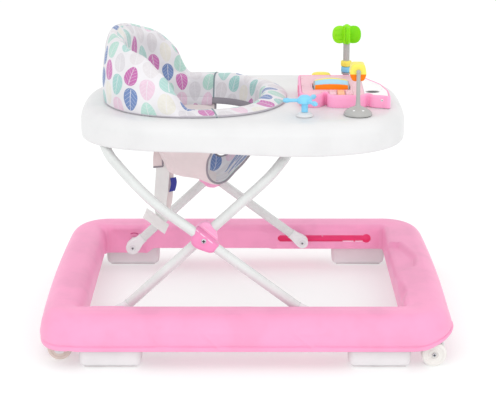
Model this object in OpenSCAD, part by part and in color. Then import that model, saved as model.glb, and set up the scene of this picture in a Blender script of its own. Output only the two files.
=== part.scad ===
// Baby walker: a moulded ring base on castors, a scissor frame of bent
// tubes, and a tray with a padded seat and a row of toys.
// +X is the front (toy end), +Y the child's left, +Z up. The origin is the
// centre of the footprint on the floor. Millimetres.

/* [Base ring] */
// Overall length of the base ring
base_l = 704; // [690:2:720]
// Overall width of the base ring
base_w = 600; // [596:2:610]
// Width of the moulded channel
rail_w = 74; // [70:1:76]
// Height of the crest above the floor
base_top = 92; // [90:1:94]
// Outer corner radius in plan
base_r = 78; // [76:1:82]
// Wall of the base moulding
wall = 3; // [2.5:0.5:3.5]

/* [Wheels] */
// Wheel radius
wheel_r = 21; // [20:0.5:21]
// Radius of the wheel axles
axle_r = 3; // [2.5:0.5:3]

/* [Scissor frame] */
// Tube radius
tube_r = 8.5; // [8:0.5:9]
// Tube wall
tube_t = 1.2; // [1:0.1:2]
// Distance of the outer legs from the middle plane, at the hub
outer_y = 207; // [205:1:208]
// Distance of the inner legs from the middle plane, at the hub
inner_y = 187; // [185:1:188]

/* [Tray] */
// Height of the tray rim's lower edge
rim_z = 347; // [345:1:350]
// Height of the tray's top face
tray_z = 400; // [398:1:402]

/* [Seat] */
// Height of the top of the backrest
back_z = 532; // [500:2:536]
// Thickness of the backrest pad
pad_t = 28; // [24:1:30]

/* [Hidden] */
$fn = 48;
e = 0.01;
// Pivots of the scissor in the X-Z plane
PB = [-221, 60];   // inner frame on the base
PA = [109, 64];    // outer frame's slider in the base
H = [-71, 201];    // the crossing
AT = [-245, 375];  // outer frame on the tray
BT = [73, 375];    // inner frame's sliding bar under the tray
// Front castor and rear wheel places
CX = 322; CY = 264; trail = 8;
RX = -315; RY = 240;
pink = [1, 0.62, 0.80];
white = [0.96, 0.96, 0.96];
grey = [0.68, 0.68, 0.68];
cloth = [0.90, 0.87, 0.90];

// ---------- helpers ----------
function arc(cx, cz, rx, rz, a0, a1, n) = [for (i = [0:n]) let (a = a0 + (a1 - a0) * i / n) [cx + rx * cos(a), cz + rz * sin(a)]];
function rr(w, h, r, n = 5) = concat(arc(w/2 - r, h/2 - r, r, r, 0, 90, n), arc(-w/2 + r, h/2 - r, r, r, 90, 180, n),
  arc(-w/2 + r, -h/2 + r, r, r, 180, 270, n), arc(w/2 - r, -h/2 + r, r, r, 270, 360, n));
module rbox(x, y, z0, z1, w, h, r) translate([x, y, z0]) linear_extrude(z1 - z0) polygon(rr(w, h, r));
module cyl_y(x, y0, y1, z, r) translate([x, y1, z]) rotate([90, 0, 0]) cylinder(r = r, h = y1 - y0);
module cyl_x(x0, x1, y, z, r) translate([x0, y, z]) rotate([0, 90, 0]) cylinder(r = r, h = x1 - x0);
module both() { children(); mirror([0, 1, 0]) children(); }
function unit(v) = v / norm(v);
// Straight tube or rod from p to q
module rod(p, q, r) {
  d = unit(q - p); s = abs(d[2]) > 0.95 ? [0, 1, 0] : [0, 0, 1];
  u = unit(cross(s, d)); w = cross(d, u);
  multmatrix([[u[0], w[0], d[0], p[0]], [u[1], w[1], d[1], p[1]], [u[2], w[2], d[2], p[2]], [0, 0, 0, 1]])
    cylinder(r = r, h = norm(q - p));
}
// Stations [point, direction] along the points P, rounded by bend radii B
function bend_pts(P, B, i) = let (d0 = unit(P[i] - P[i-1]), d1 = unit(P[i+1] - P[i]), t = acos(d0 * d1),
  n = unit(d1 - d0 * (d0 * d1)), c = P[i] - d0 * B[i] * tan(t / 2) + n * B[i])
  [for (k = [0:5]) let (a = t * k / 5) [c - n * B[i] * cos(a) + d0 * B[i] * sin(a), d0 * cos(a) + n * sin(a)]];
function stations(P, B) = let (n = len(P) - 1) concat([[P[0], unit(P[1] - P[0])]],
  [for (i = [1:n-1]) for (q = bend_pts(P, B, i)) q], [[P[n], unit(P[n] - P[n-1])]]);
// Hollow bent tube; v is a direction that the tube never runs along
module bent_tube(P, B, v) {
  S = stations(P, B); n = len(S); m = 16;
  F = [for (s = S) let (u = unit(cross(v, s[1]))) [u, cross(s[1], u)]];
  polyhedron(
    points = concat([for (r = [tube_r, tube_r - tube_t]) for (i = [0:n-1]) for (k = [0:m-1]) S[i][0] + r * (F[i][0] * cos(360 * k / m) + F[i][1] * sin(360 * k / m))]),
    faces = concat(
      [for (i = [0:n-2], k = [0:m-1]) let (a = i*m + k, b = i*m + (k+1) % m, c = a + m, d = b + m) for (f = [[a, c, b], [b, c, d]]) f],
      [for (i = [0:n-2], k = [0:m-1]) let (o = n*m, a = o + i*m + k, b = o + i*m + (k+1) % m, c = a + m, d = b + m) for (f = [[a, b, c], [b, d, c]]) f],
      [for (k = [0:m-1]) let (a = k, b = (k+1) % m, c = n*m + a, d = n*m + b) for (f = [[a, b, c], [b, d, c]]) f],
      [for (k = [0:m-1]) let (a = (n-1)*m + k, b = (n-1)*m + (k+1) % m, c = n*m + a, d = n*m + b) for (f = [[a, c, b], [b, c, d]]) f]));
}

// ---------- base ring ----------
function rail_outer() = concat([[4, 34], [1, 40]], arc(34, 50, 34, base_top - 50, 180, 90, 9),
  arc(rail_w - 18, base_top - 16, 18, 16, 90, 0, 6), [[rail_w, 45]]);
function rail_inner() = concat([[7, 30], [4, 40]], arc(34, 50, 31, base_top - 53, 180, 90, 9),
  arc(rail_w - 18, base_top - 16, 15, 13, 90, 0, 6), [[rail_w - 3, 30]]);
module rail(p, len) rotate([90, 0, 90]) linear_extrude(len, center = true) polygon(p);
module ring(p) {
  lx = base_l - 2 * base_r; ly = base_w - 2 * base_r;
  for (m = [0, 1]) mirror([0, m, 0]) translate([0, -base_w/2, 0]) rail(p, lx);
  for (m = [0, 1]) mirror([m, 0, 0]) rotate([0, 0, 90]) translate([0, -base_l/2, 0]) rail(p, ly);
  for (mx = [0, 1], my = [0, 1]) mirror([mx, 0, 0]) mirror([0, my, 0]) translate([lx/2, ly/2, 0])
    rotate_extrude(angle = 90) polygon([for (q = p) [base_r - q[0], q[1]]]);
}
iw = base_w/2 - rail_w; // half width of the opening
module base_shell() color(pink) difference() {
  union() {
    difference() { ring(rail_outer()); ring(rail_inner()); }
    // castor sockets in the front corners
    intersection() { ring(rail_outer()); both() translate([CX, CY, 47]) cylinder(r = 9.5, h = 34); }
    // posts for the rear wheel brackets and the brake pads
    both() translate([RX, RY, 66]) cylinder(r = 6, h = 24);
    both() for (x = [-250, -203, 199, 246]) translate([x, 268, 44]) cylinder(r = 5, h = 46);
  }
  both() {
    translate([CX, CY, 46]) cylinder(r = 5.05, h = 26);
    // the moulding sweeps up over the swivelling castor
    translate([CX, CY, 20]) cylinder(r = 38, h = 27 - e);
    // slot for the frame's slider, with the hole the pin's head goes in through
    translate([58, iw - 1, 64.5 - 5.8]) cube([182, wall + 3, 11.6]);
    cyl_y(236, iw - 1, iw + wall + 2, 64.5, 9);
    cyl_y(PB[0], iw - 1, iw + wall + 2, PB[1], 4.05);
    translate([RX, RY, 60]) cylinder(r = 2, h = 22);
    for (x = [-250, -203, 199, 246]) translate([x, 268, 40]) cylinder(r = 1.8, h = 20);
  }
}
module brake_pads() color(white) both() for (x = [-226.5, 222.5]) difference() {
  rbox(x, 269, 3.2, 43.8, 105, 38, 10);
  difference() {
    rbox(x, 269, 6, 50, 100, 33, 8);
    for (s = [-23.5, 23.5]) translate([x + s, 268, 0]) cylinder(r = 5, h = 50);
  }
  for (s = [-23.5, 23.5]) translate([x + s, 268, 0]) { cylinder(r = 2.2, h = 50); cylinder(r = 4.2, h = 12); }
}
module brake_pad_soles() color([0.85, 0.83, 0.83]) both() for (x = [-226.5, 222.5]) for (s = [-1, 1])
  rbox(x, 269 + s * 11, 1.6, 3.2, 88, 9, 3);
module base_screws() color(grey) both() {
  for (x = [-250, -203, 199, 246]) { translate([x, 268, 12]) cylinder(r = 1.8, h = 46); translate([x, 268, 8.6]) cylinder(r = 3.6, h = 3.4); }
  translate([RX, RY, 62]) cylinder(r = 2, h = 19); translate([RX, RY, 61.2]) cylinder(r = 3.8, h = 1.8);
}
// channels behind the slots: the slider pin's head runs inside
module slide_guides() color([0.93, 0.30, 0.52]) both() difference() {
  translate([50, iw + wall, 50]) cube([202, 20, 26]);
  translate([53, iw + wall - 1, 64.5 - 9.8]) cube([196, 18, 19.6]);
}
module rear_wheel_brackets() color(white) both() translate([RX, RY, 0]) difference() {
  union() {
    for (s = [-1, 1]) translate([0, s * 10.6 - 1.6, 0]) rotate([90, 0, 0]) mirror([0, 0, 1])
      linear_extrude(3.2) polygon([[-9, 16], [-6, 12.5], [6, 12.5], [9, 16], [15, 66], [-15, 66]]);
    translate([-15, -12.2, 63]) cube([30, 24.4, 3]);
  }
  cyl_y(0, -20, 20, wheel_r, axle_r);
  translate([0, 0, 60]) cylinder(r = 2.2, h = 10);
}
module rear_axles() color(grey) both() { cyl_y(RX, RY - 13.4, RY + 13.4, wheel_r, axle_r); cyl_y(RX, RY + 12.3, RY + 14.4, wheel_r, 5); cyl_y(RX, RY - 14.4, RY - 12.3, wheel_r, 5); }
module wheel(w, y) translate([0, y, wheel_r]) rotate([90, 0, 0]) translate([0, 0, -w/2]) difference() {
  rotate_extrude($fn = 72) polygon(concat([[axle_r + 0.05, 0], [7, 0], [8, 1.2], [15, 1.2], [16, 0]],
    arc(wheel_r - 2.5, 2.5, 2.5, 2.5, -90, 0, 4), arc(wheel_r - 2.5, w - 2.5, 2.5, 2.5, 0, 90, 4),
    [[16, w], [15, w - 1.2], [8, w - 1.2], [7, w], [axle_r + 0.05, w]]));
}
module rear_wheel_right() color(white) translate([RX, -RY, 0]) wheel(16, 0);
module rear_wheel_left() color(white) translate([RX, RY, 0]) wheel(16, 0);

// ---------- castors ----------
module fork() color(white) translate([CX, 0, 0]) {
  difference() {
    union() {
      // middle plate between the two wheel discs
      translate([0, 4, 0]) rotate([90, 0, 0]) linear_extrude(8) difference() {
        union() {
          translate([-trail, wheel_r]) circle(r = 9);
          polygon([[-trail - 9, wheel_r], [-trail + 8, wheel_r - 5], [9, 32], [9, 45], [-9, 45], [-13, 38]]);
        }
        translate([-trail, wheel_r]) circle(r = axle_r);
      }
      translate([0, 0, 43.4]) cylinder(r = 9.5, h = 3.3);
      // front bumper over the discs
      translate([8, 0, 34]) rotate([0, 0, 90]) rbox(0, 0, 0, 9, 8, 6, 2);
      translate([0, 0, 46]) cylinder(r = 5, h = 25);
    }
  }
}
module caster_fork_right() translate([0, -CY, 0]) fork();
module caster_fork_left() translate([0, CY, 0]) fork();
module discs() color(white) for (s = [-1, 1]) translate([CX - trail, 0, 0]) difference() {
  translate([0, s * 9.9, wheel_r]) rotate([90, 0, 0]) translate([0, 0, -5.5]) rotate_extrude($fn = 72)
    polygon(concat([[axle_r - 0.06, 0], [9, 0], [10, 0.8], [16, 0.8], [17, 0]], arc(wheel_r - 2.5, 2.5, 2.5, 2.5, -90, 0, 4),
      arc(wheel_r - 2.5, 8.5, 2.5, 2.5, 0, 90, 4), [[17, 11], [16, 10.2], [10, 10.2], [9, 11], [axle_r - 0.06, 11]]));
}
module caster_wheels_right() translate([0, -CY, 0]) discs();
module caster_wheels_left() translate([0, CY, 0]) discs();
module axle() color(grey) { cyl_y(CX - trail, -15.4, 15.4, wheel_r, axle_r - 0.06); for (s = [-1, 1]) cyl_y(CX - trail, s * 16.2 - 0.8, s * 16.2 + 0.8, wheel_r, 5); }
module caster_axle_right() translate([0, -CY, 0]) axle();
module caster_axle_left() translate([0, CY, 0]) axle();

// ---------- scissor frame ----------
dB = unit([H[0] - PB[0], 0, H[1] - PB[1]]);
dA = unit([H[0] - PA[0], 0, H[1] - PA[1]]);
inner_pts = [[PB[0], inner_y, PB[1]] + dB * 16, [H[0], inner_y, H[1]] + dB * 38, [66, 165, 334], [BT[0], 158, BT[1]], [BT[0], 134, BT[1]]];
outer_pts = [[PA[0], outer_y, PA[1]] + dA * 16, [H[0], outer_y, H[1]] + dA * 38, [-209, 190, 304], [-243, 136, 342], [AT[0], 128, AT[1]], [AT[0], 104, AT[1]]];
module inner_leg() color(white) difference() {
  bent_tube(inner_pts, [0, 150, 40, 18, 0], [1, 0, -1]);
  cyl_y(H[0], inner_y - 20, inner_y + 20, H[1], 3);
}
module inner_leg_left() inner_leg();
module inner_leg_right() mirror([0, 1, 0]) inner_leg();
module inner_crossbar() color(white) difference() { cyl_y(BT[0], -134, 134, BT[1], tube_r); cyl_y(BT[0], -135, 135, BT[1], tube_r - tube_t); }
// moulded cap over the lower end of a leg, with the pivot bore
module end_cap(P, d, y, bore) difference() {
  union() {
    cyl_y(P[0], y - 10, y + 10, P[1], 14);
    rod([P[0], y, P[1]], [P[0], y, P[1]] + d * 46, 10.4);
  }
  rod([P[0], y, P[1]] + d * 16, [P[0], y, P[1]] + d * 60, tube_r);
  cyl_y(P[0], y - 12, y + 12, P[1], bore);
}
module inner_end_caps() color(white) both() end_cap(PB, dB, inner_y, 4.06);
module outer_end_caps() color(white) both() end_cap(PA, dA, outer_y, 4);
module rear_pivot_pins() color(grey) both() {
  cyl_y(PB[0], inner_y - 12, iw + wall + 3, PB[1], 4);
  cyl_y(PB[0], inner_y - 14.5, inner_y - 11, PB[1], 7);
  cyl_y(PB[0], inner_y + 10.6, iw - 0.02, PB[1], 8);
  cyl_y(PB[0], iw + wall + 0.02, iw + wall + 4, PB[1], 7.5);
}
module slider_pins() color(grey) both() {
  cyl_y(PA[0], outer_y - 11, iw + wall + 6, PA[1], 4);
  cyl_y(PA[0], outer_y - 13.5, outer_y - 10, PA[1], 6.5);
  cyl_y(PA[0], iw + wall + 4, iw + wall + 9, PA[1], 8);
}
module hub_inner_covers() color(pink) both() difference() {
  cyl_y(H[0], inner_y - 10.2, inner_y + 9.7, H[1], 22);
  rod([H[0], inner_y, H[1]] - dB * 40, [H[0], inner_y, H[1]] + dB * 40, tube_r + 0.02);
  cyl_y(H[0], inner_y - 20, inner_y + 20, H[1], 3);
}
module hub_outer_covers() color(pink) both() difference() {
  union() { cyl_y(H[0], outer_y - 9.7, outer_y + 6, H[1], 24); cyl_y(H[0], outer_y + 5, outer_y + 11, H[1], 19); }
  rod([H[0], outer_y, H[1]] - dA * 40, [H[0], outer_y, H[1]] + dA * 40, tube_r + 0.02);
  cyl_y(H[0], outer_y - 20, outer_y + 20, H[1], 3.06);
}
module hub_bolts() color(grey) both() {
  cyl_y(H[0], inner_y - 12, outer_y + 12, H[1], 3);
  cyl_y(H[0], outer_y + 11.3, outer_y + 13.6, H[1], 5.5);
  cyl_y(H[0], inner_y - 14, inner_y - 10.2, H[1], 5.5);
}
module outer_leg() color(white) difference() {
  bent_tube(outer_pts, [0, 120, 40, 18, 18, 0], [1, 0, 1]);
  cyl_y(H[0], outer_y - 20, outer_y + 20, H[1], 3.06);
}
module outer_leg_left() outer_leg();
module outer_leg_right() mirror([0, 1, 0]) outer_leg();
module outer_crossbar() color(white) difference() { cyl_y(AT[0], -104, 104, AT[1], tube_r); cyl_y(AT[0], -105, 105, AT[1], tube_r - tube_t); }

// ---------- tray ----------
function sgn(v) = v < 0 ? -1 : 1;
// Egg-shaped outline, set in by i
function outline(i, n = 64) = [for (k = [0:n-1]) let (t = 360 * (k + 0.5) / n, p = cos(t) < 0 ? 3 : 3.2,
  u = sgn(cos(t)) * pow(abs(cos(t)), 2 / p), v = sgn(sin(t)) * pow(abs(sin(t)), 2 / p), x = -7 + (283 - i) * u)
  [x, (214 + 0.03 * x - i) * v]];
// Seat opening, grown by g
function seat_hole(g, n = 48) = [for (k = [0:n-1]) let (t = 360 * (k + 0.5) / n)
  [-85 + (137 + g) * sgn(cos(t)) * pow(abs(cos(t)), 0.85), (148 + g) * sgn(sin(t)) * pow(abs(sin(t)), 0.85)]];
module slab(p, z0, z1) translate([0, 0, z0]) linear_extrude(z1 - z0) polygon(p);
module tray_shell() color(white) difference() {
  union() {
    slab(outline(0), rim_z, tray_z - 22); slab(outline(3), tray_z - 22, tray_z - 13);
    slab(outline(8), tray_z - 13, tray_z - 5); slab(outline(16), tray_z - 5, tray_z);
  }
  slab(outline(3), rim_z - 1, tray_z - 24); slab(outline(6), tray_z - 24, tray_z - 15);
  slab(outline(11), tray_z - 15, tray_z - 7); slab(outline(19), tray_z - 7, tray_z - 3);
  slab(seat_hole(0), tray_z - 10, tray_z + 1);
  translate([118, 6, tray_z - 10]) cube([55, 34, 20]);
  toy_holes(tray_z - 10, tray_z + 10, 1.55);
}
// saddles that hang the tray on the outer frame's bar
module tray_pivot_brackets() color(white) both() translate([0, 80, 0]) difference() {
  union() { cyl_y(AT[0], 0, 16, AT[1], 13); translate([AT[0] - 11, 0, AT[1]]) cube([22, 16, tray_z - 3 - AT[1]]); }
  cyl_y(AT[0], -1, 17, AT[1], tube_r + 0.06);
}
// slotted plates that guide the inner frame's bar
module tray_tracks() color(white) both() difference() {
  translate([56, 112, 357]) cube([184, 5, tray_z - 3 - 357]);
  translate([BT[0] - tube_r - 1.2, 111, BT[1] - 10]) cube([164, 7, 20]);
}
module seat_ring() color(white) difference() {
  union() { slab(seat_hole(10), tray_z + 0.02, tray_z + 3); slab(seat_hole(-0.3), tray_z - 15, tray_z + 1); }
  slab(seat_hole(-4), tray_z - 20, tray_z + 5);
}
function collar(g) = [for (k = [0:47]) let (t = 360 * (k + 0.5) / 48)
  [-89.5 + (160.5 + g) * sgn(cos(t)) * pow(abs(cos(t)), 0.9), (168 + g) * sgn(sin(t)) * pow(abs(sin(t)), 0.9)]];
collar_z = tray_z + 13; // top of the collar
// inner edge of the collar: wider at the front than at the sides
collar_in = [for (k = [0:47]) let (t = 360 * (k + 0.5) / 48)
  [-94 + 112 * sgn(cos(t)) * pow(abs(cos(t)), 0.9), 123 * sgn(sin(t)) * pow(abs(sin(t)), 0.9)]];
module seat_collar() color(cloth) difference() { slab(collar(0), tray_z + 3.02, collar_z); slab(collar_in, tray_z - 1, 430); }
// side view of the backrest's front edge
back_side = [[-270, collar_z + 0.02], [-93, collar_z + 0.02], [-104, 434], [-120, 448], [-137, 467], [-158, 490], [-180, 511], [-196, back_z - 13], [-210, back_z - 4], [-228, back_z], [-242, back_z - 3], [-252, back_z - 12], [-270, back_z - 12]];
module back_prism() translate([0, 200, 0]) rotate([90, 0, 0]) linear_extrude(400) polygon(back_side);
module backrest_pad() color(cloth) difference() {
  intersection() { difference() { slab(collar(-1), collar_z + 0.02, back_z + 5); slab(collar(-pad_t), 400, back_z + 9); } back_prism(); }
  intersection() { difference() { slab(collar(-11), 430, 504); slab(collar(-15), 420, 510); } translate([-270, -125, 400]) cube([110, 250, 140]); }
}
module backrest_board() color(white) intersection() {
  difference() { slab(collar(-11.4), 430.4, 503.6); slab(collar(-14.6), 420, 510); }
  translate([-270, -124.6, 400]) cube([109.6, 249.2, 140]);
}
// hanging seat: rings of [z, centre x, half length, half width]
sling_rows = [[402, -85, 129, 139], [384, -85, 129, 139], [345, -73, 84, 98], [312, -70, 60, 74], [284, -62, 42, 52], [266, -58, 28, 34], [256, -57, 14, 18]];
sn = 28; sm = len(sling_rows);
function sling_ring(i, g) = [for (k = [0:sn-1]) let (t = 360 * k / sn, q = sling_rows[i])
  [q[1] + (q[2] - g) * cos(t), (q[3] - g) * sin(t), q[0] + (i == sm - 1 ? g : 0)]];
module sling_skin() polyhedron(
  points = concat([for (i = [0:sm-1]) for (q = sling_ring(i, 0)) q], [for (i = [0:sm-1]) for (q = sling_ring(i, 4)) q]),
  faces = concat(
    [for (i = [0:sm-2], k = [0:sn-1]) let (k2 = (k + 1) % sn) for (f = [[i*sn + k, (i+1)*sn + k, i*sn + k2], [i*sn + k2, (i+1)*sn + k, (i+1)*sn + k2]]) f],
    [for (i = [0:sm-2], k = [0:sn-1]) let (k2 = (k + 1) % sn, o = sm*sn) for (f = [[o + i*sn + k, o + i*sn + k2, o + (i+1)*sn + k], [o + i*sn + k2, o + (i+1)*sn + k2, o + (i+1)*sn + k]]) f],
    [for (k = [0:sn-1]) let (k2 = (k + 1) % sn, o = sm*sn) for (f = [[k, k2, o + k], [k2, o + k2, o + k]]) f],
    [[for (k = [0:sn-1]) (sm-1)*sn + k]], [[for (k = [sn-1:-1:0]) sm*sn + (sm-1)*sn + k]]));
module seat_sling() color(cloth) difference() {
  sling_skin();
  // leg holes left and right of the crotch strap
  both() translate([0, 160, 0]) rotate([90, 0, 0]) linear_extrude(134)
    polygon([[-74, 372], [-74, 286], [-66, 274], [-52, 268], [-38, 274], [-4, 330], [4, 372]]);
}
module care_tag() color(white) translate([-162, -21.5, 152]) cube([28, 1.6, 160]);

// ---------- toy console ----------
tz = tray_z + 0.3;
key_x = [142.8, 156.9, 171];
module console2d(i) difference() {
  union() {
    translate([92 + i, -66 + i]) square([112 - 2 * i, 112 - 2 * i]);
    translate([113, -68]) circle(r = 21 - i);
    translate([173, -60]) polygon(rr(70 - 2 * i, 62 - 2 * i, 14 - i));
    polygon([[198, -72 + i], [210, -80 + i], [216, -89 + i], [232, -91 + i], [246 - i, -97 + i], [250 - i, -92], [251 - i, -58], [240 - i, -18], [216 - i, 22 - i], [198, 44 - i]]);
  }
}
module console_base() color(pink) difference() {
  union() {
    difference() {
      translate([0, 0, tz]) linear_extrude(21) console2d(0);
      translate([0, 0, tz - 1]) linear_extrude(30) console2d(2.5);
    }
    // foot of the yellow button, on a web from the back wall
    translate([136, 84, tz]) linear_extrude(7) polygon(arc(0, 0, 22, 17, 0, 354, 35));
    translate([126, 43.6, tz]) cube([20, 30, 5]);
  }
  translate([136, 84, tz - 1]) cylinder(r = 5.06, h = 20);
}
module console_top() color([0.98, 0.78, 0.86]) difference() {
  translate([0, 0, tz + 21]) linear_extrude(4) intersection() { console2d(0.6); translate([80, -110]) square([123, 180]); }
  translate([115.6, -56, 400]) cube([64.8, 40, 40]);
  for (x = key_x) translate([x - 0.4, -85.4, 400]) cube([13.4, 24.8, 40]);
}
module console_panel() color(white) difference() {
  translate([0, 0, tz + 21]) linear_extrude(3.4) intersection() { console2d(0.6); translate([203.3, -110]) square([60, 180]); }
  translate([218, -66, 400]) linear_extrude(40) polygon(arc(0, 0, 12.3, 8.3, 0, 354, 35));
}
module speaker_grille() color([0.3, 0.3, 0.32]) translate([218, -66, tz + 21]) linear_extrude(2.8) polygon(arc(0, 0, 12.2, 8.2, 0, 354, 35));
module speaker() color(grey) translate([218, -66, tz + 8]) { cylinder(r = 13, h = 10); translate([0, 0, -4]) cylinder(r = 8, h = 5); }
module circuit_board() color([0.2, 0.5, 0.3]) translate([185, -40, tz + 6]) cube([34, 44, 1.6]);
module battery_cells() color(grey) for (y = [15, 33]) { cyl_x(121, 169, y, tz + 10.5, 7); cyl_x(168, 170.5, y, tz + 10.5, 2.6); }
module battery_door() color(pink) translate([115, 3.6, tz + 0.02]) cube([61, 39.4, 1.8]);
module roller_axle() color(grey) { cyl_x(115.7, 180.3, -36, 421, 2.5); for (x = [112.7, 180.3]) translate([x, -41, tz]) cube([3, 10, 20.9]); }
module roller_barrel() color([1, 0.6, 0.2]) translate([117, -36, 421]) rotate([0, 90, 0]) difference() {
  rotate_extrude($fn = 72) polygon([[2.56, 0], [15.5, 0], [17.2, 3], [18, 10], [18, 52], [17.2, 59], [15.5, 62], [2.56, 62]]);
}
module key(x, c) color(c) { rbox(x + 6.3, -73, tz + 18, tz + 28, 12.6, 24, 3.4); rbox(x + 6.3, -73, tz + 8, tz + 19, 8, 10, 2); }
module key_left() key(key_x[0], [1, 0.75, 0.88]);
module key_middle() key(key_x[1], [1, 0.75, 0.5]);
module key_right() key(key_x[2], [1, 0.75, 0.88]);
// oval push button on its own foot, behind the console
module yellow_button() color([0.97, 0.90, 0.5]) translate([136, 84, 0]) {
  translate([0, 0, 412]) linear_extrude(16) polygon(arc(0, 0, 19, 14, 0, 354, 35));
  translate([0, 0, 428]) linear_extrude(4) polygon(arc(0, 0, 15.5, 10.8, 0, 354, 35));
  translate([0, 0, 405]) cylinder(r = 5, h = 8);
}

// ---------- tray toys ----------
// places of the screws under each toy: [x, y, half distance]
toy_places = [[181, 80, 12], [188, -141, 12], [98, -152, 8.5]];
module toy_holes(z0, z1, r) for (p = toy_places, s = [-1, 1]) translate([p[0], p[1] + s * p[2], z0]) cylinder(r = r, h = z1 - z0, $fn = 24);
module dome(r, h, hole = 0) rotate_extrude() polygon(concat([[hole, 0], [r, 0]], arc(0, 0, r, h, 4, 86, 8), [[hole, h]]));
WX = 181; WY = 80;
module windmill_post() color(grey) difference() {
  translate([WX, WY, tz]) {
    dome(22, 14);
    cylinder(r = 5.8, h = 80);
    translate([0, 0, 25]) cylinder(r = 8.4, h = 2.8);
    cylinder(r = 3, h = 108);
  }
  toy_holes(tray_z, tz + 5, 1.5);
}
module ring_blue() color([0.55, 0.83, 0.98]) translate([WX, WY, tz + 28]) difference() { rotate_extrude() polygon(concat([[5, 0]], arc(7, 2, 2, 2, -90, 0, 3), arc(7, 8.4, 2, 2, 0, 90, 3), [[5, 10.4]])); translate([0, 0, -1]) cylinder(r = 5.86, h = 20); }
module ring_yellow() color([0.97, 0.90, 0.5]) translate([WX, WY, tz + 38.7]) difference() { rotate_extrude() polygon(concat([[5, 0]], arc(7, 2, 2, 2, -90, 0, 3), arc(7, 8.4, 2, 2, 0, 90, 3), [[5, 10.4]])); translate([0, 0, -1]) cylinder(r = 5.86, h = 20); }
module windmill_rotor() color([0.5, 0.88, 0.1]) translate([WX, WY, tz]) difference() {
  union() {
    translate([0, 0, 80.3]) cylinder(r = 7, h = 34); translate([0, 0, 114]) cylinder(r = 3.5, h = 3);
    for (a = [0, 90, 180, 270]) rotate([0, 0, a]) translate([14.5, 2.5, 97.3]) rotate([90, 0, 0]) linear_extrude(5) polygon(rr(21, 31, 10, 8));
  }
  cylinder(r = 3.06, h = 110);
}
DX = 188; DY = -141; DZ = 473;
module drum_stand() color(grey) {
  difference() { translate([DX, DY, tz]) { dome(24, 15); cylinder(r = 3.4, h = DZ - tz); } toy_holes(tray_z, tz + 5, 1.5); }
  translate([DX, DY, DZ]) sphere(r = 4.4);
  cyl_y(DX, DY, -104, DZ, 2.5); cyl_y(DX, -104.6, -102, DZ, 4.5);
}
module drum_body() color([1, 0.8, 0.35]) difference() {
  translate([DX, -105.4, DZ]) rotate([90, 0, 0]) linear_extrude(30) polygon(rr(27, 32, 7, 5));
  cyl_y(DX, -150, -100, DZ, 2.56);
}
SX = 98; SY = -152;
module spinner_base() color(white) difference() { translate([SX, SY, tz]) { dome(14.5, 7); cylinder(r = 2.5, h = 29); } toy_holes(tray_z, tz + 3.6, 1.5); }
module spinner_rotor() color([0.55, 0.83, 0.98]) translate([SX, SY, tz]) difference() {
  union() {
    translate([0, 0, 7.4]) cylinder(r = 5.6, h = 16);
    translate([0, 0, 22]) cylinder(r = 12, h = 6); translate([0, 0, 28]) dome(12, 8);
    for (a = [60, 180, 300]) rotate([0, 0, a]) { rod([8, 0, 27], [33, 0, 27], 3.2); translate([33, 0, 27]) sphere(r = 4.6); }
  }
  translate([0, 0, 5]) cylinder(r = 2.56, h = 25);
}
module toy_screws() color(grey) { toy_holes(tray_z - 4.4, tz + 3.4, 1.5); toy_holes(tray_z - 4.9, tray_z - 3.1, 3); }

base_shell();
brake_pads();
brake_pad_soles();
base_screws();
slide_guides();
rear_wheel_brackets();
rear_axles();
rear_pivot_pins();
rear_wheel_right();
rear_wheel_left();
caster_fork_right();
caster_fork_left();
caster_wheels_right();
caster_wheels_left();
caster_axle_right();
caster_axle_left();
inner_leg_right();
inner_leg_left();
inner_crossbar();
inner_end_caps();
hub_inner_covers();
hub_bolts();
outer_leg_right();
outer_leg_left();
outer_crossbar();
outer_end_caps();
slider_pins();
hub_outer_covers();
tray_shell();
tray_pivot_brackets();
tray_tracks();
seat_ring();
seat_collar();
backrest_pad();
backrest_board();
seat_sling();
care_tag();
console_base();
console_top();
console_panel();
speaker_grille();
speaker();
circuit_board();
battery_cells();
battery_door();
roller_axle();
roller_barrel();
key_left();
key_middle();
key_right();
yellow_button();
windmill_post();
windmill_rotor();
ring_blue();
ring_yellow();
drum_stand();
drum_body();
spinner_base();
spinner_rotor();
toy_screws();
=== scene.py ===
import bpy
import bmesh
import math
import numpy as np
from mathutils import Vector, Matrix


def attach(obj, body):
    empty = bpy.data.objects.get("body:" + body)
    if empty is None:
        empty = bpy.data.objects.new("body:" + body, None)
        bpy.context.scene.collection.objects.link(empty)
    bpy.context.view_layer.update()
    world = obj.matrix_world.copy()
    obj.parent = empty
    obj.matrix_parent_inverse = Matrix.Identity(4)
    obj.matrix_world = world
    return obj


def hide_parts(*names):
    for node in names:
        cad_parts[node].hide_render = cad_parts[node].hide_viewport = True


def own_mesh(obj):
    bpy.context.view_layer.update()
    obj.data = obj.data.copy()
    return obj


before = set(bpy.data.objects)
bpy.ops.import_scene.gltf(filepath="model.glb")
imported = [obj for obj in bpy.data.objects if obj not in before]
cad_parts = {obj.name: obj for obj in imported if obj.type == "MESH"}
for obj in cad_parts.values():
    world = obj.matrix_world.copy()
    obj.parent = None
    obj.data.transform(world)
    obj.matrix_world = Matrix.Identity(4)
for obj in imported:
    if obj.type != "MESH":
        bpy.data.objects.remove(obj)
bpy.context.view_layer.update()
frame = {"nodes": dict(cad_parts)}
sc = bpy.context.scene
pi = math.pi
MM = 0.001

# ------------------------------------------------------------------ small maths
def sm(a, b, x):
    t = np.clip((np.asarray(x, float) - a) / (b - a), 0.0, 1.0)
    return t * t * (3 - 2 * t)

def srgb(c):
    f = lambda v: v / 12.92 if v <= 0.04045 else ((v + 0.055) / 1.055) ** 2.4
    return tuple(f(v / 255.0) for v in c[:3]) + (1.0,)

def unit(v):
    v = np.asarray(v, float)
    return v / np.linalg.norm(v)

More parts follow.
